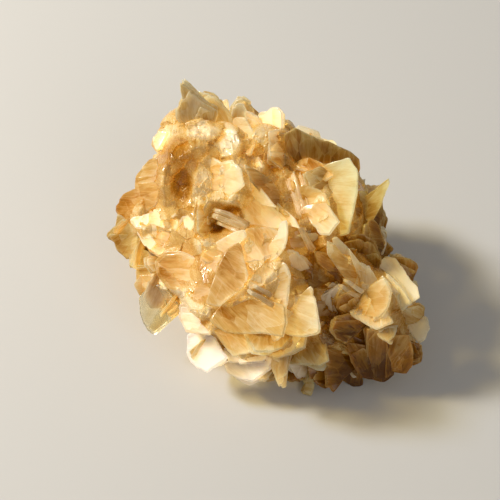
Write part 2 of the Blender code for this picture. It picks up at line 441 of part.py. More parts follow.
def base_block():
    """The block below the ground that cuts the base flat."""
    mesh = bmesh.new()
    bmesh.ops.create_cube(mesh, size=2 * BASE_SKIRT * MM)
    bmesh.ops.translate(mesh, verts=mesh.verts, vec=(0, 0, -BASE_SKIRT * MM))
    return finished("base_cut", mesh)


def settle(grown):
    """Makes the joined shape the object's own mesh, with its closed inner hollows filled, and centres it."""
    bpy.context.view_layer.update()
    mesh = bmesh.new()
    mesh.from_object(grown, bpy.context.evaluated_depsgraph_get())
    for shell in shells(mesh):
        if shell_volume(shell) < 0:
            bmesh.ops.delete(mesh, geom=shell, context="FACES")
    bmesh.ops.triangulate(mesh, faces=mesh.faces)
    bmesh.ops.translate(mesh, verts=mesh.verts, vec=Vector(PLACE) * MM)
    grown.modifiers.clear()
    grown.data = bpy.data.meshes.new(NAME)
    mesh.to_mesh(grown.data)
    mesh.free()


def shells(mesh):
    """Groups of faces that hang together."""
    left = set(mesh.faces)
    found = []
    while left:
        shell, edge_of_search = [], [left.pop()]
        while edge_of_search:
            face = edge_of_search.pop()
            shell.append(face)
            near = {other for edge in face.edges for other in edge.link_faces} & left
            left -= near
            edge_of_search += near
        found.append(shell)
    return found


def shell_volume(shell):
    """Signed volume: less than nothing where the faces point into a hollow."""
    total = 0.0
    for face in shell:
        first, *rest = [vertex.co for vertex in face.verts]
        total += sum(first.dot(a.cross(b)) for a, b in zip(rest, rest[1:])) / 6
    return total


def mica():
    material = bpy.data.materials.new("honey_mica")
    material.use_nodes = True
    looks = material.node_tree.nodes["Principled BSDF"].inputs
    looks["Base Color"].default_value = HONEY
    looks["Roughness"].default_value = 0.35
    looks["Metallic"].default_value = 0.0
    material.diffuse_color = HONEY
    return material


def main():
    for old in list(bpy.data.objects):
        bpy.data.objects.remove(old)
    cluster = bpy.data.collections.new(NAME)
    helpers = bpy.data.collections.new("bodies_and_cutters")
    helpers.hide_render = True
    for collection in (cluster, helpers):
        bpy.context.scene.collection.children.link(collection)
    grown = grown_together(pieces(), helpers)
    cluster.objects.link(grown)
    block = base_block()
    break_base(grown, block)
    settle(grown)
    grown.data.materials.append(mica())
    helpers.objects.link(block)
    for helper in helpers.objects:
        helper.hide_render = True
        helper.display_type = "WIRE"


main()
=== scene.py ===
"""Mica cluster: one intergrown mass of honey-coloured mica, resting on its broken base.

Units are millimetres in the tables and in the sums, and metres in the meshes. +Z is up, and the best face
looks towards -Y and upwards. Round growth knots make the body. Every crystal of the display face is drawn
as an outline on a sketch plane, which faces an eye above and in front of the cluster, and sinks into
the knots by its root. Each is a small book: a stack of thin leaves with stepped, softened edges.
"""

import math

import bpy
import numpy as np
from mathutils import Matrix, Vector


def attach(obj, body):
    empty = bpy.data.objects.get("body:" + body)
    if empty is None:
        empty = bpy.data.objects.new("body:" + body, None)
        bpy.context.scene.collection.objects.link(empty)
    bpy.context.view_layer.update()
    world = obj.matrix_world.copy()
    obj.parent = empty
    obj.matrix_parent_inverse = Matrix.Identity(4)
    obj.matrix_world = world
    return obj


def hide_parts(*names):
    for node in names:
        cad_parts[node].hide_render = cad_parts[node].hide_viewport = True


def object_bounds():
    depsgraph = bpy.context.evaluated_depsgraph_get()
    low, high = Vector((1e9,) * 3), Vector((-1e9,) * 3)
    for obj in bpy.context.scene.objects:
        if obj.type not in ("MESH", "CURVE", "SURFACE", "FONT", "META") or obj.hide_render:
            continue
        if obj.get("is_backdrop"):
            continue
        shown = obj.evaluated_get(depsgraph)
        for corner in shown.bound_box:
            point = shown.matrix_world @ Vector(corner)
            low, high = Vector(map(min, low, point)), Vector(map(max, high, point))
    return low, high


bl_info = {
    "name": "Mica Cluster",
    "version": (1, 0, 0),
    "blender": (4, 5, 0),
    "location": "View3D > Sidebar > Mica Cluster",
    "description": "Grows a cluster of honey mica, leaf by leaf, and sets it on a plain stage",
    "category": "Add Mesh",
}

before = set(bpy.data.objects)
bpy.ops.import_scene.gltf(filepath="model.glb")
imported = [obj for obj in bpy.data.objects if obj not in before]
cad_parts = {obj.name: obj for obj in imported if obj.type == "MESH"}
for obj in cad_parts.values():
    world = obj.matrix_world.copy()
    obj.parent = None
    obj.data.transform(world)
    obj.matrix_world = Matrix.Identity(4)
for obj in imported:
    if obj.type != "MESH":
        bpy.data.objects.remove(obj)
CAD_LOW, CAD_HIGH = (np.array(corner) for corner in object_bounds())

NODE = "mica_cluster"
MM = 0.001

# The sketch plane and the eye that it faces.
EYE_ELEVATION = math.radians(52)
EYE_DISTANCE = 280.0
AIM = np.array([-3.2, 0.0, 14.0])
RIGHT = np.array([1.0, 0.0, 0.0])
UP = np.array([0.0, math.sin(EYE_ELEVATION), math.cos(EYE_ELEVATION)])
OUT = np.array([0.0, -math.cos(EYE_ELEVATION), math.sin(EYE_ELEVATION)])
EYE = AIM + EYE_DISTANCE * OUT
PLACE = np.array([0.19, 0.232, 0.0])  # puts the middle of the finished cluster over the origin

# Growth knots: centre x, y, z and radius.
KNOTS = {
    "summit": (-8.0, 13.0, 23.5, 8.5),
    "upper_left": (-11.0, 9.0, 19.5, 12.0),
    "left": (-18.5, 5.5, 17.0, 7.5),
    "left_low": (-14.0, -3.5, 13.5, 6.5),
    "front": (-4.0, -6.0, 12.5, 13.0),
    "right_back": (8.0, 6.0, 16.5, 11.5),
    "neck": (11.5, -3.0, 12.5, 9.0),
    "right_lobe": (19.2, -9.0, 9.5, 7.2),
    "shoulder": (-14.0, 17.0, 25.0, 6.0),
    "crest": (0.5, 15.5, 25.0, 5.5),
    "front_foot": (-0.5, -15.0, 5.2, 6.2),
    "right_foot": (11.0, -13.0, 4.2, 6.5),
    "lobe_foot": (20.5, -13.5, 5.0, 6.0),
    "middle_foot": (3.0, -4.0, 5.5, 9.0),
    "back_foot": (-7.0, 9.0, 8.0, 10.5),
    "back_foot_right": (6.0, 6.0, 7.5, 9.5),
}

# Crystals of the display face by region: outline on the sketch plane as "right,up" pairs, lean off that
# plane and the direction in which it rises to the eye (degrees, 0 right and 90 up), thickness, how far it
# stands out, tone from 0 (white cream) to 1 (brown), and cast from -1 (grey) to 1 (olive). Some tones are
# painted light: white highlights on the glint crystals and pearl_knob, a pale painted glow on glow_plate, and
# painted shade in the dark tones of shadow_plate, arm_under, the gap plates and the petals under the lobe.
CRYSTALS = {
    "summit_plates": {
        "summit_fin": ("-12.6,30.2 -11.2,29.3 -8.4,26.9 -5.4,25.2 -6.2,22.9 "
                       "-10.8,21.9 -13,23.9 -13.2,25.2 -12.1,27.6 -12.5,28.8", 30, 95, 0.9, 0, 0.36, 0.1),
        "summit_shoulder": ("-9.4,28.4 -7.6,28.3 -5.8,27.2 -5,25.9 -6.8,23.4 -8.6,24.1",
                            33, 60, 1.0, 0, 0.4, 0.1),
        "summit_chip": ("-4.7,26.6 -4.1,27 -3.6,25.7 -3.8,24.1 -5,24.5", 18, 0, 1.0, 0, 0.15, 0),
        "round_lens_back": ("-3.4,24.1 -3.4,25.7 -2.5,27.2 -1.3,27.4 0,26.5 0.4,25 -0.5,23.6",
                            33, 90, 0.9, 0, 0.25, 0.1),
        "round_lens_front": ("-3.1,23.2 -3.1,25.6 -2.3,26.6 -1.3,26.5 -0.7,25.2 -1.1,23",
                             43, 80, 1.0, 1, 0.28, 0.05),
        "crest_saddle": ("-0.9,25 0.4,24.7 1.6,23.9 2.2,22.3 0,22.3", 33, 45, 1.2, 0, 0.2, 0),
        "crest_knob": ("1.6,22.7 2,24.3 3.2,24.7 3.8,25.4 5,25.7 5.9,24.8 6.1,23 5.9,21.6 3.6,21.1",
                       38, 0, 1.6, 0, 0.1, -0.1),
        "rim_scale_a": ("-14.6,23.2 -13.3,24.1 -11.9,23.8 -12.2,21.6 -14,21.2", 33, -30, 1.2, 0, 0.2, 0),
        "rim_scale_b": ("-15.7,23 -14.8,22.7 -13.9,21.4 -15.3,20.5 -16,21.8", 38, -30, 1.0, 0, 0.2, 0),
        "rim_scale_c": ("-17.1,20 -16,21.4 -14.4,21.2 -14.2,18.4 -16.6,17.8 -17.3,19.1",
                        38, -20, 1.1, 0, 0.22, 0),
        "rim_shelf": ("-9.7,23.4 -6.3,24.8 -3.2,22.7 -1.6,19.4 -2.5,17.5 -5,18.5 -8.1,20.9",
                      38, -60, 1.4, 1, 0.16, 0),
        "rim_brow": ("-14.4,21.4 -9.7,21.6 -6.8,20.5 -4.9,18.4 -6.5,18.9 -9.4,20.2 -13,20.2",
                     38, -80, 1.6, 1.5, 0.25, 0),
        "crest_left": ("-2.5,23.4 -0.8,23.6 0.6,21.2 1,18.8 0.2,16.8 -1.4,16.9 -1.9,19.5",
                       34, 0, 1.4, 0.2, 0.3, 0),
        "crest_middle": ("-0.4,23.4 2.2,22.7 4.7,20.9 3.2,16.6 1.1,17.6 0.4,20.2",
                         43, 180, 1.4, 1, 0.4, 0.1),
        "crest_right": ("3.2,21.4 6.1,21.6 6.8,18.7 8.5,16 6.1,14.2 3.2,16.4", 47, 180, 1.3, 0.5, 0.5, 0),
        "pocket_roof": ("-14.4,20.2 -9,20.3 -6.5,19.3 -5.4,17.6 -7.9,15.5 -11.2,14.8 -14.4,15.7 -15.7,18",
                        47, 120, 1.2, 0, 0.5, 0),
        "pocket_left": ("-16.6,16.2 -14.4,15.8 -13,13.3 -14,9.7 -15.5,8.3 -16.6,11.5",
                        52, 180, 1.2, 0.5, 0.5, 0.05),
        "pocket_wall": ("-9.2,14.4 -7.2,16.4 -5.2,15.6 -3.1,16.2 -1.4,14.6 "
                        "-0.9,11.6 -3.2,9.8 -5,10.6 -6.5,11 -8,12.6",
                        34, 0, 1.3, 0.1, 0.26, 0.05),
        "pocket_wall_low": ("-7.9,11.5 -4.3,10.4 -0.7,9.7 -1.1,6.8 -4,7.9 -7.6,9",
                            36, -30, 1.2, 0.1, 0.34, 0),
        "pocket_lens": ("-5.4,14.8 -3.2,15.5 -1.3,14 -2.2,12.4 -4.3,12.2", 33, 20, 1.2, 0.8, 0.35, -0.1),
        "pocket_floor": ("-11.5,9 -9.7,10.4 -7.2,9.7 -7.9,6.8 -9.7,5 -11.9,6.8",
                         33, -45, 1.2, 0.5, 0.5, 0.2),
    },
    "left_plates": {
        "left_flank": ("-18,16.2 -16.6,16.6 -15.5,10.8 -16.9,7.9 -20.5,5.8 "
                       "-23,5.8 -23.9,7.6 -22.7,9.7 -20.5,10.8 -20.2,13.3", 43, 0, 1.2, 0.5, 0.6, 0.1),
        "left_flank_inner": ("-16.9,18 -15.5,17.6 -14,13 -15.5,9.4 -16.6,11.2 -17.3,14.8",
                             38, 0, 1.1, 1, 0.42, 0),
        "left_horn": ("-25.6,2.5 -23.9,4.3 -23.6,6.5 -21.6,5.4 -19.8,2.5 -20.2,0 -22,-1.4 -23.6,0 -24.5,2",
                      33, 30, 1.0, 0, 0.5, 0.3),
        "left_tab": ("-21.4,0 -19.4,1.1 -19.3,-2.9 -21.2,-2.9", 18, 0, 1.0, 0, 0.4, 0.2),
        # The glint crystals are white, tone 0: painted highlights of facets that face the light.
        "glint_left": ("-18.2,6.5 -16.6,7.4 -15.3,3.8 -18,5", 43, 0, 0.7, 1.2, 0, 0),
        "glint_small": ("-15.1,7.2 -14,7.6 -13.1,6.1 -14.4,5.8", 43, 0, 0.7, 1.0, 0, 0),
        "glint_right": ("-11.9,6.7 -11,7.4 -9.5,5 -10.6,3.6 -11.5,4.3", 43, 0, 0.7, 1.2, 0, 0),
        "glint_low": ("-20,3.4 -18.5,3.2 -16.7,1.1 -17.8,0 -18.9,1.1", 43, 0, 0.7, 0.8, 0, 0),
        "cream_knob": ("-21.2,5.4 -19.8,6.1 -17.8,6.5 -18,4.7 -19.1,3.6 -20.5,4.3",
                       33, -30, 1.2, 1, 0.15, -0.2),
        "flank_inner": ("-18.4,7.6 -15.8,8.6 -13,7.9 -11.5,6.1 -13.3,3.2 -15.5,3.6 -18,5",
                        33, 0, 1.2, 0.2, 0.3, 0.05),
        "middle_left": ("-18.7,3.2 -16.2,4 -13.3,4.7 -11.5,3.2 -12.6,0.4 -16.2,-1.1 -18,0",
                        33, -20, 1.3, 0.2, 0.42, 0),
        "middle_tan": ("-13.3,5 -10.4,4.3 -9,2.2 -10.4,-0.4 -13.3,-0.7 -15.5,0",
                       33, 10, 1.2, 1, 0.42, 0.05),
        "amber_column": ("-9,9.7 -7.2,9 -6.8,5 -8.3,1.8 -9.7,3.2 -9.5,7.2", 52, 180, 1.2, 1, 0.5, 0.1),
        "grey_facets": ("-10.4,2.2 -6.8,1.4 -5,0.7 -6.5,-1.1 -7.9,-2.2 -9.7,0",
                        33, 90, 1.2, 0.5, 0.3, -0.05),
        "egg_lens": ("-16.6,-2.2 -15.1,-0.7 -12.2,-0.4 -9.4,-1.4 -7.9,-3.6 "
                     "-9,-6.5 -11.9,-7.4 -14.8,-6.5 -16.2,-4.3", 26, 0, 1.4, 0.2, 0.42, 0),
        "left_edge_strip": ("-20.2,0 -18.4,-0.4 -16.6,-2.2 -16.7,-5.4 "
                            "-17.6,-7.4 -19.3,-8.1 -20,-6.5 -20.2,-3.2", 38, 0, 1.0, 0, 0.38, 0.1),
        "white_chip": ("-17.5,-4.3 -16.2,-4.7 -14.8,-7.2 -16.7,-6.5", 38, 0, 1.0, 1, 0.02, 0),
        "cream_bank": ("-14.8,-6.8 -11.9,-6.8 -9,-6.8 -6.8,-9 -7.2,-12.2 -9,-11.5 -11.9,-10.8 -14,-8.6",
                       33, -20, 1.5, 0.5, 0.1, 0),
        "cream_bank_low": ("-12.2,-10.1 -9,-10.4 -6.8,-11.9 -7.2,-15.1 -9.7,-14.8 -11.3,-14.4 -12.4,-11.9",
                           26, 0, 1.5, 0, 0.2, -0.5),
    },
    "clear_plate": {
        "glass_plate": ("-19.8,-8.8 -18.4,-6.7 -16.2,-6.1 -14,-7.9 -12.4,-11.2 "
                        "-16.2,-14 -17.3,-14.8 -18.4,-13.9 -19.3,-11.7", 26, 60, 0.9, 0, 0.16, 0.15),
    },
    "middle_plates": {
        "curl": ("-5,9 -2.2,9.5 -1.1,8.6 -1.8,6.8 -3.2,7.9", 33, 90, 1.0, 0.5, 0.4, 0),
        # glow_plate is painted pale, partly as a painted glow of the light coming through it.
        "glow_plate": ("-1.3,9 1.1,9.7 4,7.9 6.8,5.4 6.1,4 2.2,3.6 -0.4,4.7 -1.4,6.8",
                       14, -50, 1.0, 1, 0.24, 0),
        "ridge_strip_a": ("-1.8,14.8 -0.5,14.4 2.2,10.8 4.7,7.6 2.2,8.3 0,10.8 -1.6,13",
                          34, 0, 1.2, 2, 0.3, 0),
        "ridge_strip_b": ("1.8,10.4 4.7,8.3 8.3,5.6 9.2,3.8 6.5,4.7 3.6,7.6", 43, 0, 1.2, 2, 0.28, 0),
        "gutter_plate": ("-0.9,15.5 1.4,14.2 3.6,12.4 6.8,7.2 4.7,7.9 2.2,10.1 0,12.6",
                         40, 180, 1.2, 0.3, 0.62, 0),
        "gutter_knob": ("-0.2,16.7 1.4,16.9 2.7,15.1 2.2,13.9 0.5,14.2", 33, 0, 1.8, 0.8, 0.2, 0),
        "flame": ("6.7,5.4 7,3.2 6.3,0.4 4.3,-1.4 3.1,-1.8 3.8,0.7 5.2,3.2 5.8,5", 47, 0, 1.2, 2, 0.18, 0),
        "peach_plate": ("-2.9,1.8 -0.7,3.4 3.2,3.8 6.1,2.9 4.7,-0.7 2.2,-2.5 -1.1,-2.3 -2.5,-0.4",
                        20, -60, 1.2, 1.7, 0.36, 0),
        "finger": ("-2.5,3.2 -0.9,3.6 -0.5,2.5 -1.8,1.3 -5,-1.1 -7.6,-2.2 -8.6,-1.4 -5.8,1.1",
                   20, -20, 1.8, 1.5, 0.24, 0),
        "orange_sail": ("-2.2,1.1 -1.1,-2.2 -0.2,-4.5 -0.7,-6.3 -3.4,-8.5 "
                        "-5.6,-10.1 -7.7,-9.5 -6.8,-7 -5,-2.5 -3.6,0", 18, -40, 1.2, 2.2, 0.5, 0),
        "cream_strip": ("-8.5,-1.4 -5,-0.7 -6.1,-4.7 -7.9,-9.7 -9.7,-9.4 -9,-5.4", 30, 0, 1.3, 1, 0.24, 0),
        "pale_wing": ("-0.7,-2.5 2.2,-2.2 5.8,-1.4 4,-4.3 2.2,-6.5 0,-7.2 -0.5,-5",
                      24, -60, 1.1, 1, 0.38, 0),
        "right_shade": ("6.8,5 8.6,4.3 10.8,1.8 11.3,-1.1 9.7,-1.4 7.6,0 6.5,1.8",
                        30, 180, 1.2, 1.4, 0.42, 0),
        "grey_fan": ("6.1,0 7.6,0 9.7,-1.4 10.8,-3.2 9,-4 6.8,-2.9 5.4,-2.2", 33, 120, 1.0, 1, 0.35, -0.2),
    },
    "front_plates": {
        "front_fan": ("-6.8,-12.6 -5,-10.4 -1.8,-9 2.2,-9 6.3,-10.1 "
                      "6.8,-13 6.1,-15.8 2.2,-14.8 -1.3,-14.9 -4.3,-14.4", 20, -40, 1.3, 1, 0.46, 0.1),
        "front_scale": ("-1.3,-14.4 2.2,-13.7 6.1,-14 7.2,-15.5 5.8,-17.5 3.2,-18.7 0.7,-18.4",
                        33, -100, 1.0, 2, 0.42, 0.15),
        "lower_tan": ("-6.5,-13.7 -4,-14 -1.1,-14.8 0.4,-18.4 -2.9,-19.1 -4.3,-17.3",
                      26, -45, 1.2, 0.5, 0.42, 0.05),
        "tall_blade": ("6.1,-2.2 6.8,-2.9 7.4,-4.5 7,-8.1 6.5,-11.7 "
                       "5.4,-15.7 4.7,-16.2 3.8,-13 4.5,-8.1 5.6,-4", 26, 0, 1.4, 2.5, 0.28, 0),
        "amber_gap": ("1.4,-7.2 3.2,-4.3 5.8,-2.5 5.4,-6.1 4.3,-9.4 2.2,-9", 38, 180, 1.1, 0, 0.62, 0),
        "gold_plate": ("6.1,-9 9.4,-8.3 11,-6.7 12.1,-10.4 13,-15.1 9.7,-15.7 6.1,-14.9 6.5,-11.9",
                       26, -20, 1.4, 2, 0.3, 0.05),
        "gold_upper": ("7.4,-3.2 9,-2.9 9.7,-5.4 11,-6.5 10.1,-9.4 7.4,-9.4", 33, 180, 1.2, 1, 0.45, 0),
        "tongue": ("2.2,-18 6.1,-16.9 8.6,-14.8 10.1,-15.8 10.1,-17.5 7.6,-18.7 4.7,-19.4",
                   33, -60, 1.0, 1.5, 0.4, 0.1),
        "gold_corner": ("6.8,-19.1 9.9,-18 10.3,-15.8 13,-15.3 14.4,-20 12.8,-21.1 10.1,-20.5 7.2,-20.3",
                        33, -60, 1.3, 1, 0.42, 0.2),
        "fang": ("3.8,-18.7 7.2,-18 6.7,-21.2 5.9,-24.5 5.2,-24.8 4.3,-22.3", 18, -90, 1.8, 1, 0.35, -0.05),
        # The gap plates' dark tones are partly painted shade of the recess.
        "gap_plate": ("11.9,-9 14.4,-9.7 15.8,-12.6 15.1,-16.9 13,-15.8 12.2,-12.6",
                      43, 180, 1.2, 0.8, 0.8, -0.2),
        "gap_plate_low": ("12.2,-15.1 15.5,-15.8 18.4,-19.1 16.2,-20.5 14,-18.7",
                          33, 150, 1.2, 0, 0.95, -0.1),
    },
    "low_petals": {
        "white_petal": ("-10.8,-15.5 -8.3,-14.4 -6.5,-15.5 -5,-18.2 -4,-19.4 "
                        "-6.1,-20.9 -7.7,-21.8 -10.1,-20.3 -11,-18.4", 33, 10, 1.2, 0, 0, -0.85),
        "grey_petal": ("-4.3,-19.8 -0.7,-18.7 2.5,-18.7 4.1,-19.4 3.6,-21.6 0.4,-23.8 -1.8,-23 -3.8,-21.8",
                       22, -30, 1.2, 0.8, 0.12, -0.75),
        "grey_petal_upper": ("-4.3,-18 -0.4,-18 4,-18.7 2.5,-20.2 -1.8,-20.5 -4,-20",
                             26, -90, 1.2, 1, 0.18, -0.6),
        "petal_chip": ("0.9,-23 2.2,-20.9 4,-21.2 3.1,-23.4 2,-23.9", 26, -90, 1.0, 0, 0.3, -0.2),
        "grey_triangle": ("6.5,-20.2 10.4,-20.5 9.9,-22.7 8.6,-22.9", 26, 180, 1.0, 0, 0.35, -0.5),
        # The dark tones of the low petals are partly painted shade under the lobe.
        "brown_petal": ("6.1,-21.2 10.1,-21.2 9.7,-23.4 7.6,-23.9 6.3,-23.4", 26, -90, 1.2, -2, 0.95, 0.1),
        "hook": ("9.4,-21.6 11.9,-22 11.5,-24.8 11,-26.1 9.7,-25.4 10.1,-24.1", 18, 0, 1.2, 2.5, 0.5, 0.3),
        "low_petal_left": ("10.1,-20.2 13,-20.5 14,-22 13.7,-24.5 12.2,-24.1 10.8,-23",
                           26, 180, 1.2, 1.0, 0.9, 0.2),
        "low_petal": ("13.7,-17.6 17.3,-18.4 18.7,-20.9 16.7,-23 14.9,-25.4 13.7,-24.7 13.3,-21.6",
                      26, 170, 1.3, 1.2, 1.0, 0.1),
        "low_petal_back": ("15.8,-19.8 20.2,-20.9 19.8,-24.1 18.7,-24.1 16.7,-23",
                           18, 90, 1.2, -1.5, 0.95, 0.2),
    },
    "lobe_plates": {
        "grey_tent": ("11.9,-8.5 15.8,-6.3 16.6,-7 16.4,-9.5 15.5,-11.2 13.7,-10.1 12.2,-9.2",
                      33, 60, 1.2, 1.5, 0.28, -0.4),
        "amber_shelf": ("15.8,-8.3 18.7,-7.2 21.2,-8.3 20.2,-10.8 16.9,-11.2 15.7,-10.4",
                        33, 120, 1.2, 0.5, 0.75, 0.1),
        "amber_wedge": ("15.1,-11.9 18,-11.5 20.9,-12.8 19.1,-14.8 17.1,-16.6 15.5,-15.8 14.4,-14",
                        26, 150, 1.2, 1, 0.75, 0.1),
        "neck_plate": ("9,-2.9 12.2,-2 14.6,-3.6 14,-5.4 11.2,-6.8 9.4,-5.8", 33, 160, 1.2, 0, 0.75, 0.1),
        "arm": ("13.7,1.8 15,1.2 17.2,-1.6 20,-5 20.9,-7.9 18.4,-6.1 15.8,-3.2 13.9,-0.7",
                36, 160, 1.8, 1.2, 0.5, 0.1),
        "arm_ridge": ("14.6,2.2 15.5,2.5 17.4,0.6 19.2,-2 20.8,-4.2 21.8,-7 20.4,-7.4 18,-3.6 15.4,0",
                      24, 80, 1.5, 2.2, 0.3, 0.15),
        "arm_edge": ("17.6,0.5 19.4,-2 21.4,-3.1 22.7,-6.1 21.8,-7.2 20.4,-5 18.6,-2.2",
                     30, 100, 1.4, 2.4, 0.26, 0.05),
        # arm_under's dark tone is partly painted shade under the arm.
        "arm_under": ("11.3,0 14,-0.7 17.6,-4.7 19.8,-7.6 18,-7.6 14.8,-4.3 12.2,-2.3",
                      43, 150, 1.4, -0.6, 0.95, 0.2),
        # lobe_crown is painted near white: partly frosty, partly a painted highlight.
        "lobe_crown": ("23.4,-2.5 24.5,-1.6 25.9,-1.8 27.4,-3.6 28.8,-5.6 30.1,-6.7 "
                       "30.6,-8.6 29.3,-9.4 27.7,-7.4 26.3,-5.9 24.7,-4.7", 28, -60, 1.6, 1.6, 0.02, 0),
        "lobe_face": ("24.7,-4.3 26.6,-5.9 28.1,-7.4 29.3,-9.4 27.5,-10.6 25.6,-9.9 24.8,-7.2",
                      38, 30, 1.3, 0.5, 0.12, 0.1),
        "lobe_left": ("19.4,-8.6 21.6,-6.8 24.1,-5 25.4,-7.2 25,-10.4 23.4,-12.2 20.5,-11.9 19.1,-10.4",
                      38, 0, 1.6, 1.5, 0.42, 0.1),
        "lobe_lip": ("18.2,-11.2 20.9,-10.8 24.5,-11 25.7,-13 22.7,-14.4 20.5,-13",
                     38, -90, 1.4, 1.5, 0.2, 0),
        "lobe_side": ("25.6,-9.9 27.7,-10.4 30.2,-9.7 31,-10.4 30.8,-12.2 28.4,-13.1 26.3,-12.1",
                      33, 150, 1.3, 0, 0.5, 0.2),
        "lobe_back_plate": ("24.1,-1.1 27,-1.3 28.8,-1.6 29.9,-2.5 30.1,-3.2 28.6,-5.8 26.3,-4.7",
                            18, 90, 1.0, 0, 0.7, 0.3),
        "lobe_tab": ("27.7,-5.4 29.7,-5.4 30.1,-6.3 29.2,-7.6", 18, 90, 1.0, 0, 0.4, 0.2),
        # pearl_knob is white, tone 0, partly as a painted highlight.
        "pearl_knob": ("28.7,-13.8 30.2,-12.9 31.5,-12.3 32.2,-14.1 31.3,-16 30.2,-16.7 29.4,-15.4",
                       30, -60, 1.4, 1.6, 0.0, 0),
        "tail": ("22.7,-13.5 26.3,-13.5 25.9,-15.5 24.7,-16.9 23.2,-15.5", 33, -90, 1.2, 1, 0.35, 0.1),
        # The dark tones of the lobe petals are partly painted shade under the lobe.
        "lobe_petal_a": ("20.9,-14 24.8,-14.4 25.9,-18 25.4,-22.3 24.1,-23.2 22.5,-22.9 21.2,-19.1",
                         26, 90, 1.2, 1.4, 0.84, 0),
        "lobe_petal_b": ("24.8,-15.1 28.8,-15.1 29.3,-18 29,-20.5 27.9,-21.8 25.9,-21.4 24.7,-18.4",
                         26, 60, 1.2, 1.4, 0.76, 0),
        "lobe_petal_c": ("27.7,-16.2 30.4,-16.6 31.1,-18.5 30.6,-20 29.2,-20.3",
                         18, 30, 1.2, 1.0, 0.85, 0),
        "lobe_petal_d": ("17.3,-16.6 20.9,-17.3 22.3,-20.2 22.5,-22.9 20.2,-22.9 18.4,-20.2",
                         26, 120, 1.2, 1.4, 1.0, 0),
    },
    "right_plates": {
        # shadow_plate's dark tone is partly a painted shadow cast by the ridge.
        "shadow_plate": ("6.1,20.9 8.1,22.1 10.8,20.7 14.4,19.3 18,17.5 19.4,16.2 "
                         "19.4,14.4 17.3,12.6 12.6,14 9,15.8 6.5,18", 33, 90, 1.1, -1, 0.68, 0.3),
        "pale_sail": ("13.7,14.8 18,16.6 19.4,14.8 19.6,13.7 19.3,9.9 18,2.9 16.2,2.5 14.8,7.2 14.2,11.2",
                      33, 0, 1.2, 1, 0.27, 0.35),
        "olive_window": ("9.7,14 12.6,14.9 15.1,13.3 14,10.6 11.5,10.4 10.3,12.2",
                         33, 180, 1.1, 1, 0.5, 0.2),
        "brow": ("6.5,18 9,17.5 11.5,16.2 14,14.9 15.5,13.5 13.7,12.2 10.4,14 7.2,15.1",
                 33, -60, 1.2, 1.5, 0.46, 0.1),
        "step_plate": ("9.5,11.2 11.9,10.8 13.7,10.3 14.6,8.3 14.2,7 11.2,7.6 9.7,9.4",
                       24, 0, 1.2, 2, 0.42, 0.25),
        "cream_fan": ("9.7,7.4 13.6,8.3 16.2,5.2 14.2,2.6 12.6,2.9",
                      28, -35, 1.2, 2.5, 0.3, 0.1),
        "olive_back": ("18.9,10.4 20.2,10.8 21.2,9.7 23.4,9 23.6,6.5 22.7,3.2 20.2,1.4 17.6,2.9 18.4,6.8",
                       26, 150, 1.2, 0, 0.66, 0.5),
        "spike": ("19.6,8.2 22.7,11 25,13 25.5,12.4 24.3,10.4 23.4,8.1 21.6,5.4",
                  26, 30, 1.3, 1.2, 0.42, 0.4),
        "olive_leaf": ("20.5,5 21.8,5.9 22.9,4.7 24.5,-0.7 23,-1.8 21.2,0 20,2.2",
                       26, 160, 1.2, 1, 0.72, 0.4),
        "olive_low": ("16.9,1.4 19.4,2.2 22,1.1 23.6,-1.4 22.5,-4.1 20.2,-3.2 18,-1.1",
                      33, 100, 1.2, 0, 0.8, 0.4),
        "scallop_high": ("22.7,8.3 23.6,7.6 24.5,5.6 23.8,3.8 21.6,4.7", 18, 90, 1.3, -2, 0.75, 0.2),
        "scallop_low": ("22.7,4.3 24.7,3.1 24.3,1.6 25.6,0.2 24.7,-0.7 22,0.7", 18, 60, 1.3, -2, 0.75, 0.2),
    },
}

SMOOTH = {  # crystals whose face is one clean cleavage
    "orange_sail", "front_fan", "pale_sail", "shadow_plate", "white_petal", "glow_plate",
    "gold_corner", "lower_tan", "front_scale", "pearl_knob", "grey_petal", "low_petal", "round_lens_front",
}

CRUSTED = {  # crystals that the crust covers whole: they only shape it
    "rim_shelf", "rim_brow", "rim_scale_a", "rim_scale_b", "pocket_roof", "pocket_left",
    "pocket_wall_low", "pocket_lens", "pocket_floor", "crest_middle", "left_flank_inner",
    "middle_tan", "cream_bank", "grey_facets",
}
SINGLE = {  # crystals with no sister leaves and no layers
    "arm", "arm_ridge", "arm_edge", "arm_under", "orange_sail", "flame", "finger", "pale_sail",
    "glow_plate", "tall_blade", "front_fan", "glint_left", "glint_small", "glint_right", "glint_low",
    "ridge_strip_a", "cream_fan", "step_plate", "spike", "lobe_crown", "gold_plate", "pale_wing",
    "peach_plate", "gutter_plate", "pocket_wall", "crest_left", "right_shade", "left_edge_strip",
    "left_flank", "lower_tan", "cream_strip",
}

# Books seen on edge: the two ends on the sketch plane, thickness, depth, how far they stand out.
BOOKS = {
    "pick_upper": ((0, 4.3), (-6.7, 7.6), 1.1, 5.0, 2.0),
    "pick_middle": ((-0.5, 3.8), (-7.2, 6.3), 1.2, 5.0, 2.5),
    "pick_lower": ((-1.8, 3.4), (-6.3, 5.2), 1.0, 4.0, 2.0),
    "stick_upper": ((4, -8.5), (0.5, -6.1), 0.9, 4.0, 2.5),
    "stick_lower": ((4.5, -9.9), (-0.7, -7.4), 0.9, 4.0, 3.0),
    "gutter_a": ((9.4, 5.8), (6.5, 14), 1.3, 6.0, 1.5),
    "gutter_b": ((10.4, 4.7), (7.7, 14.4), 1.2, 6.0, 2.2),
    "gutter_c": ((11.3, 4.3), (9, 14), 1.2, 6.0, 1.8),
    "gutter_d": ((11.5, -0.4), (8.3, 5.8), 1.3, 6.0, 2.0),
    "arm_stick_a": ((20.5, -7.7), (16.9, -5), 0.9, 4.0, 2.5),
    "arm_stick_b": ((19.8, -8.5), (15.8, -6.1), 0.9, 4.0, 1.5),
}

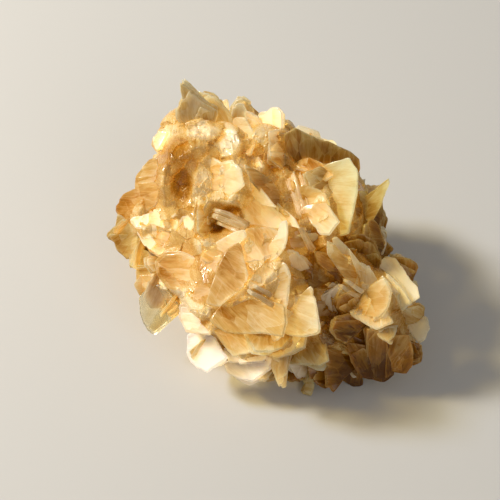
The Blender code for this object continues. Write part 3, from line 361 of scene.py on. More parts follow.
SEEDS = {  # what each piece's random numbers start from
    "growth_knots": 3, "grown_mass": 29, "summit_plates": 101, "left_plates": 211, "clear_plate": 307,
    "middle_plates": 401, "edge_books": 433, "front_plates": 503, "low_petals": 541, "lobe_plates": 601,
    "right_plates": 709, "back_leaves": 809,
}

SHARDS = 4096  # different shards of the broken crust, and how a net's rows are numbered
SHARD_ROWS = np.array([1, 64, 1657])
BLADES = np.array([[1.25, -0.12], [0.3, 0.5]])  # draws the mass's fine shards out, up and to the left

# The crust of the knots: their share of the radius, how much less of it towards the eye, and the size and
# height of the coarse and the fine shards.
KNOT_SHARE, KNOT_TUCK = 0.94, 0.12
KNOT_COARSE, KNOT_FINE = (4.2, 0.75), (1.7, 0.55)
KNOT_TONE, KNOT_SHADES = 0.44, (0.10, 0.07)
CRUST_CAST = 0.05

# The mass between the crystals.
MASS_MIDDLE = np.array([0.0, 1.0])
MASS_CELL, MASS_GAP, MASS_UNDER, MASS_OVER, MASS_INSET = 0.25, 3.0, 0.3, 3.4, 0.8
MASS_EASE, WIDE_EASE = 9, 12  # rounds of smoothing of the mass, and of the relief that its painted shade follows
MASS_SPAN, MASS_LOWEST, MASS_BURIED = 34.0, -12.0, 3.0  # its grid's half width, lowest relief, and back
MASS_COARSE, MASS_FINE = (2.8, 0.75), (0.9, 0.15)  # size and height of its shards
CRUMBLE, CRUMB_OVER = 0.8, 3.5  # how much higher the fine shards are in a crumbly place, and its limit
MASS_CLEAR, MASS_CRUST = 1.7, 0.2  # how deep it lies under a clean face, and how far over a crusted one
MASS_SHADE, MASS_DEEPEST = 0.07, 0.95  # painted shade: how the tone darkens with depth under the crystals around, and its limit
SHADE_COARSE, SHADE_FINE = 0.07, 0.03  # how much the tone differs from shard to shard

# Crumbly places of the display face, where the crust lies over the crystals: middle and half widths on the
# sketch plane, how far the crust stands over them, and its tone. The near-white tones of the rim, sparkle and
# glints places are a frosty crust, partly a painted highlight.
CRUMBS = {
    "rim_left": (-14.8, 21.8, 3.0, 1.8, 0.5, 0.12),
    "rim_middle": (-8.6, 21.4, 4.6, 2.0, 0.6, 0.02),
    "rim_right": (-3.8, 18.8, 2.8, 3.0, 0.5, 0.0),
    "sparkle": (-2.2, 15.4, 2.0, 1.8, 0.5, 0.0),
    "wall": (-7.4, 12.0, 2.8, 3.2, 0.0, 0.2),
    "crest": (0.4, 20.0, 2.4, 3.0, 0.3, 0.26),
    "knob": (3.4, 22.6, 1.8, 1.4, 0.4, 0.15),
    "ridge": (0.6, 13.4, 1.6, 3.6, 0.4, 0.18),
    # glints: painted near white, partly a painted highlight of the facets that face the light.
    "glints": (-16.6, 4.6, 2.2, 2.6, 0.3, 0.08),
    "left_edge": (-20.6, 7.2, 2.2, 1.4, 0.3, 0.25),
    "pocket_foot": (-9.0, 8.6, 2.2, 1.3, 0.4, 0.3),
    "grey": (-8.0, 1.2, 1.8, 1.2, 0.4, 0.25),
    "bank": (-12.8, -7.8, 2.6, 1.9, 0.5, 0.08),
    "bank_low": (-9.2, -11.2, 2.4, 2.0, 0.5, 0.1),
    "bank_edge": (-7.0, -14.0, 1.4, 1.6, 0.4, 0.16),
    "gutter": (8.2, 12.4, 1.4, 2.4, 0.3, 0.3),
    "fan_top": (1.8, -8.8, 4.4, 0.8, 0.3, 0.35),
    "lobe_crown": (27.2, -4.6, 2.2, 1.8, 0.3, 0.15),
    "lobe_lip": (22.4, -12.8, 2.6, 1.0, 0.3, 0.25),
}

# Hollows, where the mass lies deeper and its tone is painted darker as painted shade: middle, half widths,
# depth and tone.
SHADED_HOLLOWS = {
    "pocket": (-12.3, 11.8, 2.4, 3.4, 0.9, 1.0),
    "roof": (-13.0, 17.0, 3.4, 2.2, 0.4, 0.62),
    "under_picks": (-3.4, 7.2, 2.0, 1.0, 1.0, 0.85),
    "left_of_picks": (-6.4, 4.0, 2.2, 1.2, 1.0, 0.8),
    "recess": (12.6, -1.4, 2.6, 2.4, 1.6, 1.0),
    "behind_tent": (14.0, -5.8, 2.6, 1.2, 1.5, 1.0),
    "gap": (14.8, -13.0, 2.6, 4.6, 1.5, 0.95),
    "below_lobe": (22.6, -17.0, 5.8, 4.6, 2.2, 0.95),
    "right_back": (17.6, 0.6, 2.0, 3.0, 1.0, 0.8),
    "crest_gap": (4.6, 15.6, 1.8, 2.2, 0.8, 0.7),
}

SINK = 1.8  # how deep a crystal's root goes into the knots
PROBE_RINGS = (0.0, 0.35, 0.7)  # how far in from the outline a crystal's depth is tried

EDGE_LEAVES, EDGE_TONE, EDGE_CAST = 6, 0.36, -0.1  # leaves, tone and cast of a book seen on edge

# Leaves behind and below, as in the solid model: places on a spiral over a ball about the centre.
BACK_COUNT = 215
FILLER_SCALE, FILLER_EDGE, FILLER_SPIN, FILLER_RISE = 0.6, 0.6, 1.5, 6.0
BACK_CENTRE = np.array([0.0, 2.0, 12.0])
BACK_EDGE, BACK_LOWEST, BACK_CLEARANCE, BACK_REACH = 0.15, 2.0, 0.5, 25.0
BACK_RISE, BACK_PEEP, BACK_TRIES, BACK_SHRINK = 1.0, 0.8, 8, 0.06
BACK_TONES, BACK_CASTS = (0.2, 0.6), (0.06, 0.1)  # range of the tones, and middle and spread of the casts
BACK_LEAF = ((-0.5, -0.3), (0.1, -0.5), (0.75, -0.42), (1.0, 0.05), (0.8, 0.45), (0.15, 0.5), (-0.5, 0.3))

# A book of leaves: rings of points from the middle of one face over the stepped edge to the other.
FACE_RINGS = (0.3, 0.55, 0.75, 0.88, 0.95)  # share of the way from the middle to the outline
UNDER_RINGS = (0.6,)
THIN_RINGS, SISTER_RINGS, BACK_RINGS = (0.4, 0.7, 0.9), (0.5, 0.85), (0.7,)
POINTS = {"large": 64, "edge": 48, "small": 36, "back": 30, "back_sister": 24}  # round an outline
BEVEL = 0.04
RIM_WIDTH = 0.3  # how far in from the edge the pale rim fades; the rim is a frosty edge, partly a painted highlight
SLENDER = 0.42  # a crystal's thickness as a share of what its whole book takes up
LAYER_STEP = 0.07  # height of a cleavage step on a face
CUTS, CUT_JITTER = (0, 30, -30, 60, -60, 90, -90), 6  # ways in which a layer is cut off, in degrees
CUT_SHARE, CUT_SHRINK, CUT_TONES = (0.35, 0.85), 0.97, (-0.1, 0.07)
WIDEN = 0.6  # how much wider a crystal is at its root than its free outline
FAN_SOURCE = 2.4  # how far behind its root the growth lines of a crystal meet, in crystal lengths

# Ranges for a sister leaf: its scale, its turn and tilt in degrees and its place behind, in thicknesses, for
# each order, its thickness, and the change of its tone.
SISTER_SCALE, SISTER_TURN, SISTER_TILT, SISTER_BACK = (0.8, 1.04), (-8, 8), (2, 7), (0.4, 0.6)
SISTER_THIN, SISTER_TONES = (0.45, 0.8), (-0.1, 0.1)

# Chips in an outline: how many, and ranges for the depth and the half width as an angle. The edge of each
# leaf is ragged too, by a share of a millimetre, with waves of so many turns round it.
CHIPS, CHIP_DEPTH, CHIP_WIDTH = 5, (-0.12, 0.4), (0.06, 0.3)
RAGGED, RAGGED_TURNS, STEP_LIMITS = 0.04, (5, 9, 14, 23), (-0.1, 0.35)


class MicaSizes(bpy.types.PropertyGroup):
    """Sizes that a user would change."""

    book_leaves: bpy.props.IntProperty(
        name="Leaves per book", description="Leaves stacked in a large crystal", default=3, min=2, max=8)
    step: bpy.props.FloatProperty(
        name="Edge step", description="How far one leaf of a book stands back from the next, in mm",
        default=0.3, min=0.0, max=2.0)
    ripple: bpy.props.FloatProperty(
        name="Ripple", description="How far a crystal's face waves, in mm", default=0.16, min=0.0, max=1.0)
    filler: bpy.props.IntProperty(
        name="Small leaves", description="Places behind and below that are tried for a small leaf",
        default=420, min=0, max=3000)
    key_power: bpy.props.FloatProperty(
        name="Key light", description="Power of the main light", default=4.75, min=0.0, unit="POWER")
    fill_power: bpy.props.FloatProperty(
        name="Fill light", description="Power of the fill light", default=1.1, min=0.0, unit="POWER")
    world_light: bpy.props.FloatProperty(
        name="World light", description="Strength of the plain surroundings", default=0.24, min=0.0)


def colour_property(label, words, value):
    return bpy.props.FloatVectorProperty(
        name=label, description=words, subtype="COLOR", size=3, default=value, min=0.0, max=1.0)


class MicaColours(bpy.types.PropertyGroup):
    """Colours that a user would change, from the palest mica to the darkest."""

    # Frost is also what the pale rims fade towards: a frosty edge, partly a painted highlight.
    frost: colour_property("Frost", "Bright frosty rims", (0.95, 0.88, 0.70))
    cream: colour_property("Cream", "Pale crystals", (0.88, 0.76, 0.50))
    honey: colour_property("Honey", "The usual crystals", (0.74, 0.53, 0.20))
    amber: colour_property("Amber", "Shaded and thick crystals", (0.51, 0.245, 0.025))
    # Brown: the roots, partly staining and partly painted shade, and the painted shade of recesses and
    # hollows.
    brown: colour_property("Brown", "Roots and recesses", (0.20, 0.070, 0.0))
    olive: colour_property("Olive cast", "What an olive crystal is tinted with", (0.80, 0.88, 0.55))
    grey: colour_property("Grey cast", "What a greyish crystal turns to", (0.88, 0.85, 0.86))
    floor: colour_property("Floor", "The plain stage", (0.56, 0.555, 0.545))


def sizes():
    return bpy.context.scene.mica_sizes


def colours():
    return bpy.context.scene.mica_colours


# Where the crystals stand.


def unit(vectors):
    """Vectors scaled to length one."""
    return vectors / np.linalg.norm(vectors, axis=-1, keepdims=True)


def outline_of(text):
    return np.array([[float(v) for v in pair.split(",")] for pair in text.split()])


def sketch_rays(spots):
    """Unit directions from the eye through points of the sketch plane."""
    across, above = np.asarray(spots, float).T
    return unit(AIM + across[:, None] * RIGHT + above[:, None] * UP - EYE)


def knot_relief(rays):
    """Height over the sketch plane at which each ray meets the knots, or minus infinity where it misses."""
    highest = np.full(len(rays), -np.inf)
    for x, y, z, radius in KNOTS.values():
        gap = EYE - np.array([x, y, z])
        half = rays @ gap
        room = half**2 - (gap @ gap - radius**2)
        reach = -half - np.sqrt(np.maximum(room, 0))
        height = (EYE + reach[:, None] * rays - AIM) @ OUT
        highest = np.where(room > 0, np.maximum(highest, height), highest)
    return highest


def on_plane(rays, point, normal):
    """Points where the rays meet a plane."""
    return EYE + (((point - EYE) @ normal) / (rays @ normal))[:, None] * rays


def crystal_plane(outline, lean, toward, pull):
    """Corner points of a crystal in its own plane, the way it grows in that plane, and the plane's normal."""
    rays = sketch_rays(outline)
    slope = math.tan(math.radians(lean))
    rise = math.cos(math.radians(toward)) * RIGHT + math.sin(math.radians(toward)) * UP
    normal = unit(OUT - slope * rise)
    middle = unit(rays.mean(axis=0))
    start = EYE + middle * EYE_DISTANCE
    probes = unit(np.concatenate([rays + share * (middle - rays) for share in PROBE_RINGS]))
    relief = knot_relief(probes)
    over = np.isfinite(relief)
    clearance = (on_plane(probes[over], start, normal) - AIM) @ OUT - relief[over]
    lift = pull - SINK - clearance.min()
    return on_plane(rays, start - middle * lift, normal), unit(rise + slope * OUT), normal


def book_on_edge(end, start, depth, stand_out):
    """Corner points, growth and normal of a book seen edge on, which runs between two sketch points."""
    rays = sketch_rays([end, start])
    heights = knot_relief(rays)
    heights = np.where(np.isfinite(heights), heights, heights[np.isfinite(heights)].min()) + stand_out
    front = EYE + rays * ((EYE_DISTANCE - heights) / -(rays @ OUT))[:, None]
    run = front[1] - front[0]
    back = front - depth * OUT
    corners = np.array([front[0], front[1] - 0.15 * run, front[1] - 0.3 * depth * OUT, back[1], back[0]])
    return corners, unit(run), unit(np.cross(run, OUT))


def inside(outline, spots):
    """Which sketch points lie in an outline: those with an odd number of its sides to their right."""
    odd = np.zeros(len(spots), bool)
    for (x0, y0), (x1, y1) in zip(outline, np.roll(outline, -1, axis=0)):
        if y0 != y1:
            crosses = (y0 > spots[:, 1]) != (y1 > spots[:, 1])
            odd ^= crosses & (spots[:, 0] < x0 + (spots[:, 1] - y0) * (x1 - x0) / (y1 - y0))
    return odd


def body_surface(direction):
    """The last point where a line from the middle leaves the knots, and the way out there."""
    best, outward = 0.0, direction
    for x, y, z, radius in KNOTS.values():
        gap = BACK_CENTRE - np.array([x, y, z])
        half = direction @ gap
        room = half**2 - (gap @ gap - radius**2)
        if room > 0 and -half + math.sqrt(room) > best:
            best = -half + math.sqrt(room)
            outward = unit(gap + best * direction)
    return BACK_CENTRE + best * direction, outward


def hidden(points):
    """Whether the knots and the crystals of the display face hide every one of these points from the eye."""
    rays = unit(points - EYE)
    relief = knot_relief(rays)
    behind = (points - AIM) @ OUT < np.where(np.isfinite(relief), relief + BACK_RISE, np.inf)
    covered = np.isfinite(relief)
    offsets = on_plane(rays, AIM, OUT) - AIM
    spots = np.stack([offsets @ RIGHT, offsets @ UP], 1)
    for region in CRYSTALS.values():
        for text, *_ in region.values():
            if not behind.all() or covered.all():
                return behind.all()
            covered |= inside(outline_of(text), spots)
    return covered.all()


def back_leaves(count, scale, edge, spin, rise):
    """Corner points, growth, normal and thickness of each leaf behind and below: so many places on a spiral
    over a ball, a scale for their size, how far they may face the eye, how far they are spun about the way
    they grow, and how far they may rise towards the eye."""
    leaves = []
    for k in range(count):
        height = 1 - 2 * (k + 0.5) / count
        turn = math.pi * (3 - math.sqrt(5)) * k
        flat = math.sqrt(1 - height**2)
        foot, outward = body_surface(np.array([flat * math.cos(turn), flat * math.sin(turn), height]))
        if outward @ OUT > edge or foot[2] < BACK_LOWEST:
            continue
        size = k * math.sqrt(2) % 1
        for attempt in range(BACK_TRIES):
            swing = math.sqrt(3) * k + 2 * math.pi * attempt / BACK_TRIES
            smaller = scale * (1 - BACK_SHRINK * attempt) if scale < 1 else 1.0
            corners, axis, normal = back_leaf(foot, outward, swing, size, smaller, spin * math.sin(5.0 * k))
            low, far, high = corners[:, 2].min(), corners[:, 1].max(), ((corners - foot) @ OUT).max()
            if low < BACK_CLEARANCE or far > BACK_REACH or high > rise:
                continue
            if hidden(foot + BACK_PEEP * (corners - foot)):
                leaves.append((corners, axis, normal, SLENDER * (0.6 + 0.5 * size)))
                break
    return leaves


def back_leaf(foot, outward, swing, size, scale, spin):
    """Corners, growth and normal of one leaf: it grows out of the body at a slant, turned by the swing, and
    is spun about the way it grows."""
    side = unit(np.cross(outward, [0.3, 0.2, 1.0]))
    sway = math.cos(swing) * side + math.sin(swing) * np.cross(outward, side)
    axis = unit(outward + (0.4 + 0.6 * size) * sway)
    across = unit(np.cross(axis, outward) + 1.2 * (size - 0.5) * sway)
    normal = unit(np.cross(axis, across))
    across = math.cos(spin) * np.cross(normal, axis) + math.sin(spin) * normal
    length, width = scale * (6.0 + 3.0 * size), scale * (10.5 - 4.0 * size)
    corners = np.array([foot + length * a * axis + width * b * across for a, b in BACK_LEAF])
    return corners, axis, unit(np.cross(axis, across))


# How a crystal is built.


def way_out(closed):
    """Unit vectors that lead out of a closed line that runs anticlockwise, one at each of its points."""
    way = np.roll(closed, -1, axis=0) - np.roll(closed, 1, axis=0)
    return unit(np.stack([way[:, 1], -way[:, 0]], 1) + 1e-9)


def even_walk(outline, count, widen):
    """Points along a closed outline: evenly spaced but for the nearest to each corner, which sits on it,
    then eased a tenth of the way to each neighbour, and pushed out by widen * (1 - share of the way to the
    tip)."""
    ends = np.vstack([outline, outline[:1]])
    run = np.concatenate([[0], np.cumsum(np.linalg.norm(np.diff(ends, axis=0), axis=1))])
    at = np.linspace(0, run[-1], count, endpoint=False)
    at[np.abs(at[:, None] - run[None, :-1]).argmin(axis=0)] = run[:-1]
    even = np.stack([np.interp(at, run, ends[:, k]) for k in (0, 1)], 1)
    before, after = np.roll(even, 1, axis=0), np.roll(even, -1, axis=0)
    even = (before + 8 * even + after) / 10
    along = (even[:, 0] - even[:, 0].min()) / np.ptp(even[:, 0])
    return even + widen * (1 - along)[:, None] * way_out(even)


class Plate:
    """A flat crystal: its middle, its axes (growth, across, normal), its outline there, and its looks."""

    def __init__(self, corners, growth, normal, thickness, tone, cast, widen=0.0):
        self.normal, self.growth = normal, growth
        self.across = np.cross(normal, growth)
        self.middle = corners.mean(axis=0)
        offsets = corners - self.middle
        self.outline = np.stack([offsets @ growth, offsets @ self.across], 1)
        turned = np.roll(self.outline, -1, axis=0)
        if np.cross(self.outline, turned).sum() < 0:
            self.outline = self.outline[::-1]
        self.thickness, self.tone, self.cast, self.widen = thickness, tone, cast, widen

    def layer(self, rng, order):
        """A thin leaf left on the face by cleavage: the outline cut off along one or two straight lines, at a
        whole number of 30 degrees to the growth, and set as many steps over the face as its order."""
        outline = self.outline
        for _ in range(rng.integers(1, 3)):
            angle = math.radians(rng.choice(CUTS) + rng.uniform(-CUT_JITTER, CUT_JITTER))
            way = np.array([math.cos(angle), math.sin(angle)])
            low, high = (outline @ way).min(), (outline @ way).max()
            outline = cut_off(outline, way, low + (high - low) * rng.uniform(*CUT_SHARE))
        outline = outline.mean(axis=0) + (outline - outline.mean(axis=0)) * CUT_SHRINK
        lift = self.thickness * 0.5 + order * LAYER_STEP
        corners = self.middle + lift * self.normal
        corners = corners + outline[:, :1] * self.growth + outline[:, 1:] * self.across
        tone = np.clip(self.tone + rng.uniform(*CUT_TONES), 0, 1)
        return Plate(corners, self.growth, self.normal, 2 * LAYER_STEP, tone, self.cast)

    def twin(self, rng, order):
        """A sister leaf behind: the outline scaled about the root, turned and tilted there by its order,
        which is 1, 2 and so on away from the crystal, and set back by about half a thickness for each."""
        scale = rng.uniform(*SISTER_SCALE)
        turn = math.radians(rng.uniform(*SISTER_TURN)) * order
        tilt = -math.radians(rng.uniform(*SISTER_TILT)) * order
        root = np.array([self.outline[:, 0].min(), 0.0])
        cos, sin = math.cos(turn), math.sin(turn)
        outline = (self.outline - root) * scale @ np.array([[cos, sin], [-sin, cos]])
        growth = math.cos(tilt) * self.growth + math.sin(tilt) * self.normal
        normal = math.cos(tilt) * self.normal - math.sin(tilt) * self.growth
        behind = rng.uniform(*SISTER_BACK) * order * self.thickness
        foot = self.middle + root[0] * self.growth - behind * normal
        corners = foot + outline[:, :1] * growth + outline[:, 1:] * self.across
        tone = np.clip(self.tone + rng.uniform(*SISTER_TONES), 0, 1)
        return Plate(corners, growth, normal, self.thickness * rng.uniform(*SISTER_THIN), tone, self.cast)


def cut_off(outline, way, limit):
    """The part of a closed outline up to a straight line across it: the points with way . point < limit, and
    those where its sides meet the line."""
    ahead = outline @ way - limit
    kept = []
    for k in range(len(outline)):
        after = (k + 1) % len(outline)
        if ahead[k] < 0:
            kept.append(outline[k])
        if ahead[k] * ahead[after] < 0:
            kept.append(outline[k] + (outline[after] - outline[k]) * ahead[k] / (ahead[k] - ahead[after]))
    return np.array(kept)


def waves(rng, count, places, turns):
    """Smooth noise about 0, one pattern for each plate: a sum of sines with random heights and starts."""
    total = 0.0
    for k in turns:
        start, height = rng.uniform(0, 2 * np.pi, (count, 1)), rng.uniform(0.5, 1.0, (count, 1))
        total = total + height * np.sin(k * places + start) / math.sqrt(len(turns))
    return total


def spine(outlines):
    """Long direction of each outline, and the curve that its middle follows there: b = c0 + c1 a + c2 a^2."""
    centred = outlines - outlines.mean(axis=1, keepdims=True)
    spread = np.einsum("nsi,nsj->nij", centred, centred)
    angle = 0.5 * np.arctan2(2 * spread[:, 0, 1], spread[:, 0, 0] - spread[:, 1, 1])
    cos, sin = np.cos(angle), np.sin(angle)
    turn = np.stack([np.stack([cos, sin], 1), np.stack([-sin, cos], 1)], 1)
    turned = np.einsum("nij,nsj->nsi", turn, outlines)
    curve = np.array([np.polyfit(one[:, 0], one[:, 1], 2) for one in turned])
    return turn, turned, curve


def books(plates, points, leaves, seed, face_rings=FACE_RINGS):
    """Vertices, faces and point values of a batch of books of leaves.

    Each ring is the outline, drawn in towards the crystal's curved spine by its share of the way and by the
    step of its leaf; its height runs over the thickness. The whole waves by a sum of sines, bends along and
    across, and thins to the tip. Step of a leaf = width * (0.4 + 0.6 * max(0, cos(angle - way)) ** 1.5) +
    ragged noise + chips, and the width grows with the leaf's distance from the middle of the book, so that
    the edge is a bevel of fine steps. The values of a point are its nearness to the rim, its place between
    root and tip, the tone and cast of its crystal, and its growth coordinates.
    """
    rng = np.random.default_rng(seed)
    n, size = len(plates), sizes()
    outlines = np.stack([even_walk(plate.outline, points, plate.widen) for plate in plates])
    turn, turned, curve = spine(outlines)
    straight = turned.copy()
    straight[..., 1] -= evaluate(curve, turned[..., 0])
    reach = np.linalg.norm(straight, axis=-1)
    angle = np.arctan2(straight[..., 1], straight[..., 0])
    thickness = np.array([plate.thickness for plate in plates])[:, None]

    way = rng.uniform(0, 2 * np.pi, (n, 1))
    share, step, height = [], [], []
    levels = np.sort(rng.uniform(0.0, 1.0, (n, leaves - 1)), axis=1) * 0.5
    levels = 0.5 * np.linspace(0, 1, leaves + 1)[None, 1:-1] + levels if leaves > 1 else levels
    levels = np.hstack([np.zeros((n, 1)), levels, np.ones((n, 1))])
    chips = 0.0
    for _ in range(CHIPS):
        away = np.abs((angle - rng.uniform(0, 2 * np.pi, (n, 1)) + np.pi) % (2 * np.pi) - np.pi)
        depth, half = rng.uniform(*CHIP_DEPTH, (n, 1)), rng.uniform(*CHIP_WIDTH, (n, 1))
        chips = chips + depth * np.maximum(0, 1 - away / half)
    steps = []
    for k in range(leaves):
        core = np.abs(levels[:, k : k + 1] + levels[:, k + 1 : k + 2] - 1)
        width = size.step * (rng.uniform(0.0, 0.5, (n, 1)) + 1.8 * core**1.3)
        lean = np.maximum(0, np.cos(angle - way - rng.uniform(-0.7, 0.7, (n, 1)))) ** 1.5
        ragged = RAGGED * waves(rng, n, angle, RAGGED_TURNS) * np.minimum(1, reach / 3)
        step_in = width * (0.4 + 0.6 * lean) + ragged + chips
        steps.append(np.clip(step_in, STEP_LIMITS[0], STEP_LIMITS[1] * reach))
    bevel = BEVEL * np.ones((n, 1))
    for part in UNDER_RINGS:
        share.append(part), step.append(steps[0] + bevel), height.append(levels[:, :1])
    for k in range(leaves):
        low, high = levels[:, k : k + 1], levels[:, k + 1 : k + 2]
        soft = np.minimum(0.3 * (high - low), bevel / thickness)
        share += [1.0] * 4
        step += [steps[k] + bevel, steps[k], steps[k], steps[k] + bevel]
        height += [low, low + soft, high - soft, high]
    for part in face_rings[::-1]:
        share.append(part), step.append(steps[-1] + bevel), height.append(levels[:, -1:])
    share = np.array(share)[None, :, None]
    step = np.stack([np.broadcast_to(s, reach.shape) for s in step], 1)
    height = np.stack([np.broadcast_to(h, (n, 1)) for h in height], 1)

    scale = share * (1 - step / reach[:, None, :])
    flat = straight[:, None] * scale[..., None]
    flat[..., 1] += evaluate(curve, flat[..., 0])
    flat = np.einsum("nji,nrsj->nrsi", turn, flat)
    poles = np.stack([np.zeros(n), curve[:, 2]], 1)
    poles = np.einsum("nji,nj->ni", turn, poles)[:, None, None, :]

    start, span = outlines[..., 0].min(axis=1), np.ptp(outlines[..., 0], axis=1)
    phases = rng.uniform(0, 2 * np.pi, (n, 4))
    cup = rng.uniform(-1, 1, (n, 2))

    def lifted(spots, level, share):
        """Height over the mid-plane, with the thinning, the swelling, the bend and the waves added."""
        along = (spots[..., 0] - start[:, None, None]) / span[:, None, None]
        sized = thickness[:, :, None]
        level = (level - 0.5) * sized * (1.05 - 0.4 * along) * (1 + 0.12 * (1 - share**2))
        x, y = spots[..., 0], spots[..., 1]
        a, b, c, d = (phases[:, k, None, None] for k in range(4))
        wave = np.sin(0.75 * x + 0.3 * y + a) + np.sin(0.9 * y - 0.35 * x + b)
        wave = wave + 0.5 * np.sin(1.7 * x + 1.1 * y + c) + 0.5 * np.sin(1.9 * y - 1.2 * x + d)
        bend = cup[:, 0, None, None] * (along - 0.3) ** 2 + cup[:, 1, None, None] * (y / 5) ** 2
        return along, level + size.ripple * 0.5 * wave + 0.35 * bend

    along, lift = lifted(flat, height, share)
    rim = np.exp(-np.maximum(0, reach[:, None] * (1 - share)) / RIM_WIDTH)
    axes = np.stack([np.stack([p.growth, p.across, p.normal]) for p in plates])
    middle = np.stack([p.middle for p in plates])
    rings = np.einsum("nrsk,nkj->nrsj", np.concatenate([flat, lift[..., None]], -1), axes)
    rings += middle[:, None, None, :]
    ends = []
    for level in (0.0, 1.0):
        end_along, end_lift = lifted(poles, np.full((n, 1, 1), level), 0.0)
        local = np.concatenate([poles[:, 0, 0], end_lift[:, 0]], -1)
        ends.append((np.einsum("nk,nkj->nj", local, axes) + middle, end_along[:, 0], local))

    shift = rng.uniform(-40, 40, (n, 3))
    source = start - FAN_SOURCE * span

    def grained(spots, lift):
        """Growth coordinates: across the fan of growth lines, along them, and through the leaves."""
        x, y = spots[..., 0] - source.reshape((n,) + (1,) * (spots.ndim - 2)), spots[..., 1]
        far = np.hypot(x, y)
        fan = np.arctan2(y, x) * (FAN_SOURCE + 0.6) * span.reshape((n,) + (1,) * (spots.ndim - 2))
        return np.stack([fan, far, lift], -1) + shift.reshape((n,) + (1,) * (spots.ndim - 2) + (3,))

    ring_grain = grained(flat, lift)
    end_grain = [grained(end[2][:, :2], end[2][:, 2]) for end in ends]
    tones = np.array([[plate.tone, plate.cast] for plate in plates])
    values = {
        "rim": gathered(np.zeros((n, 1)), rim, np.zeros((n, 1))),
        "root": gathered(ends[0][1], along, ends[1][1]),
        "grain": gathered(end_grain[0], ring_grain, end_grain[1], 3),
    }
    each = values["rim"].size // n
    values["tone"], values["cast"] = (np.repeat(tones[:, k], each) for k in (0, 1))
    verts = gathered(ends[0][0], rings, ends[1][0], 3)
    return verts, skin_faces(n, rings.shape[1], points), values


def evaluate(curve, a):
    """The spine's distance from the long axis at a: c2 a^2 + c1 a + c0."""
    c2, c1, c0 = (curve[:, k].reshape((-1,) + (1,) * (a.ndim - 1)) for k in range(3))
    return c2 * a**2 + c1 * a + c0


def gathered(first, rings, last, width=1):
    """First pole, rings and last pole of each body in turn, as one list."""
    n = len(rings)
    parts = (first.reshape(n, 1, width), rings.reshape(n, -1, width), last.reshape(n, 1, width))
    joined = np.concatenate(parts, 1)
    return joined.reshape(-1, 3) if width == 3 else joined.ravel()


def skin_faces(bodies, rings, points):
    """Quads between neighbouring rings and triangles to the poles, for bodies laid out one after another."""
    r, s = np.meshgrid(np.arange(rings - 1), np.arange(points), indexing="ij")
    t = (s + 1) % points
    quads = np.stack([r * points + s, r * points + t, (r + 1) * points + t, (r + 1) * points + s], -1) + 1
    s = np.arange(points)
    t = (s + 1) % points
    last = (rings - 1) * points + 1
    low = np.stack([0 * s, t + 1, s + 1], -1)
    high = np.stack([0 * s + last + points, last + s, last + t], -1)
    start = np.arange(bodies)[:, None, None] * (rings * points + 2)
    tris = np.vstack([low, high])[None] + start
    return (quads.reshape(1, -1, 4) + start).reshape(-1, 4), tris.reshape(-1, 3)


def knot_bodies(seed, rings=38, points=76):
    """Growth knots: balls with the broken crust, r = KNOT_SHARE * radius + the coarse and the fine facet
    heights, and up to KNOT_TUCK * radius less towards the eye, where the mass lies over them."""
    spheres = np.array(list(KNOTS.values()))
    polar = (np.arange(rings) + 1) * np.pi / (rings + 1)
    polar, turn = np.meshgrid(np.pi - polar, np.arange(points) * 2 * np.pi / points, indexing="ij")
    grid = np.stack([np.sin(polar) * np.cos(turn), np.sin(polar) * np.sin(turn), np.cos(polar)], -1)
    ways = np.vstack([[[0, 0, -1.0]], grid.reshape(-1, 3), [[0, 0, 1.0]]])
    middles, radii = (np.repeat(part, len(ways), axis=0) for part in (spheres[:, :3], spheres[:, 3:]))
    ways = np.tile(ways, (len(spheres), 1))
    balls = middles + ways * radii
    coarse, shade = faceted(balls, KNOT_COARSE[0], seed)
    fine, fine_shade = faceted(balls, KNOT_FINE[0], seed + 1)
    share = KNOT_SHARE - KNOT_TUCK * np.clip(ways @ OUT, 0, 1)[:, None]
    crust = np.clip(KNOT_COARSE[1] * coarse + KNOT_FINE[1] * fine, -1.2, 0.5)
    verts = middles + ways * (share * radii + crust[:, None])
    tones = KNOT_TONE + KNOT_SHADES[0] * shade + KNOT_SHADES[1] * fine_shade
    return verts, skin_faces(len(spheres), rings, points), crust_values(tones, verts, 0.3)


def crust_values(tones, verts, root):
    """Point values of a crust: no pale rim, one distance from the root, one cast, and its own tones."""
    same = 0 * tones
    return {"rim": same, "root": same + root, "tone": tones, "cast": same + CRUST_CAST, "grain": verts}


def face_relief(spots):
    """Height over the sketch plane of whatever is foremost on each ray, the knots alone, its tone, and how
    far the mass lies under it: deeper under a clean face, and over a crusted one."""
    rays = sketch_rays(spots)
    knots = knot_relief(rays)
    high, tones, under = knots.copy(), np.full(len(spots), 0.45), np.full(len(spots), MASS_UNDER)
    for region in CRYSTALS.values():
        for name, (text, lean, toward, _, pull, tone, _) in region.items():
            outline = outline_of(text)
            over = inside(outline, spots)
            corners, _, normal = crystal_plane(outline, lean, toward, pull)
            here = (on_plane(rays[over], corners.mean(axis=0), normal) - AIM) @ OUT
            tones[over] = np.where(here > high[over], tone, tones[over])
            depth = MASS_CLEAR if name in SMOOTH else -MASS_CRUST if name in CRUSTED else MASS_UNDER
            under[over] = np.where(here > high[over], depth, under[over])
            high[over] = np.maximum(high[over], here)
    return high, knots, tones, under


def widest(grid, cells, how):
    """The highest (np.maximum) or lowest (np.minimum) value within so many cells of each cell of a grid."""
    for axis in (0, 1):
        edge = np.pad(grid, [(cells, cells) if k == axis else (0, 0) for k in (0, 1)], mode="edge")
        n = grid.shape[axis]
        grid = how.reduce([np.take(edge, np.arange(k, k + n), axis=axis) for k in range(2 * cells + 1)])
    return grid


def beside(grid, cells):
    """The sum of the four values so many cells away from each cell of a grid, along its rows and columns."""
    return (np.roll(grid, cells, 0) + np.roll(grid, -cells, 0)
            + np.roll(grid, cells, 1) + np.roll(grid, -cells, 1))


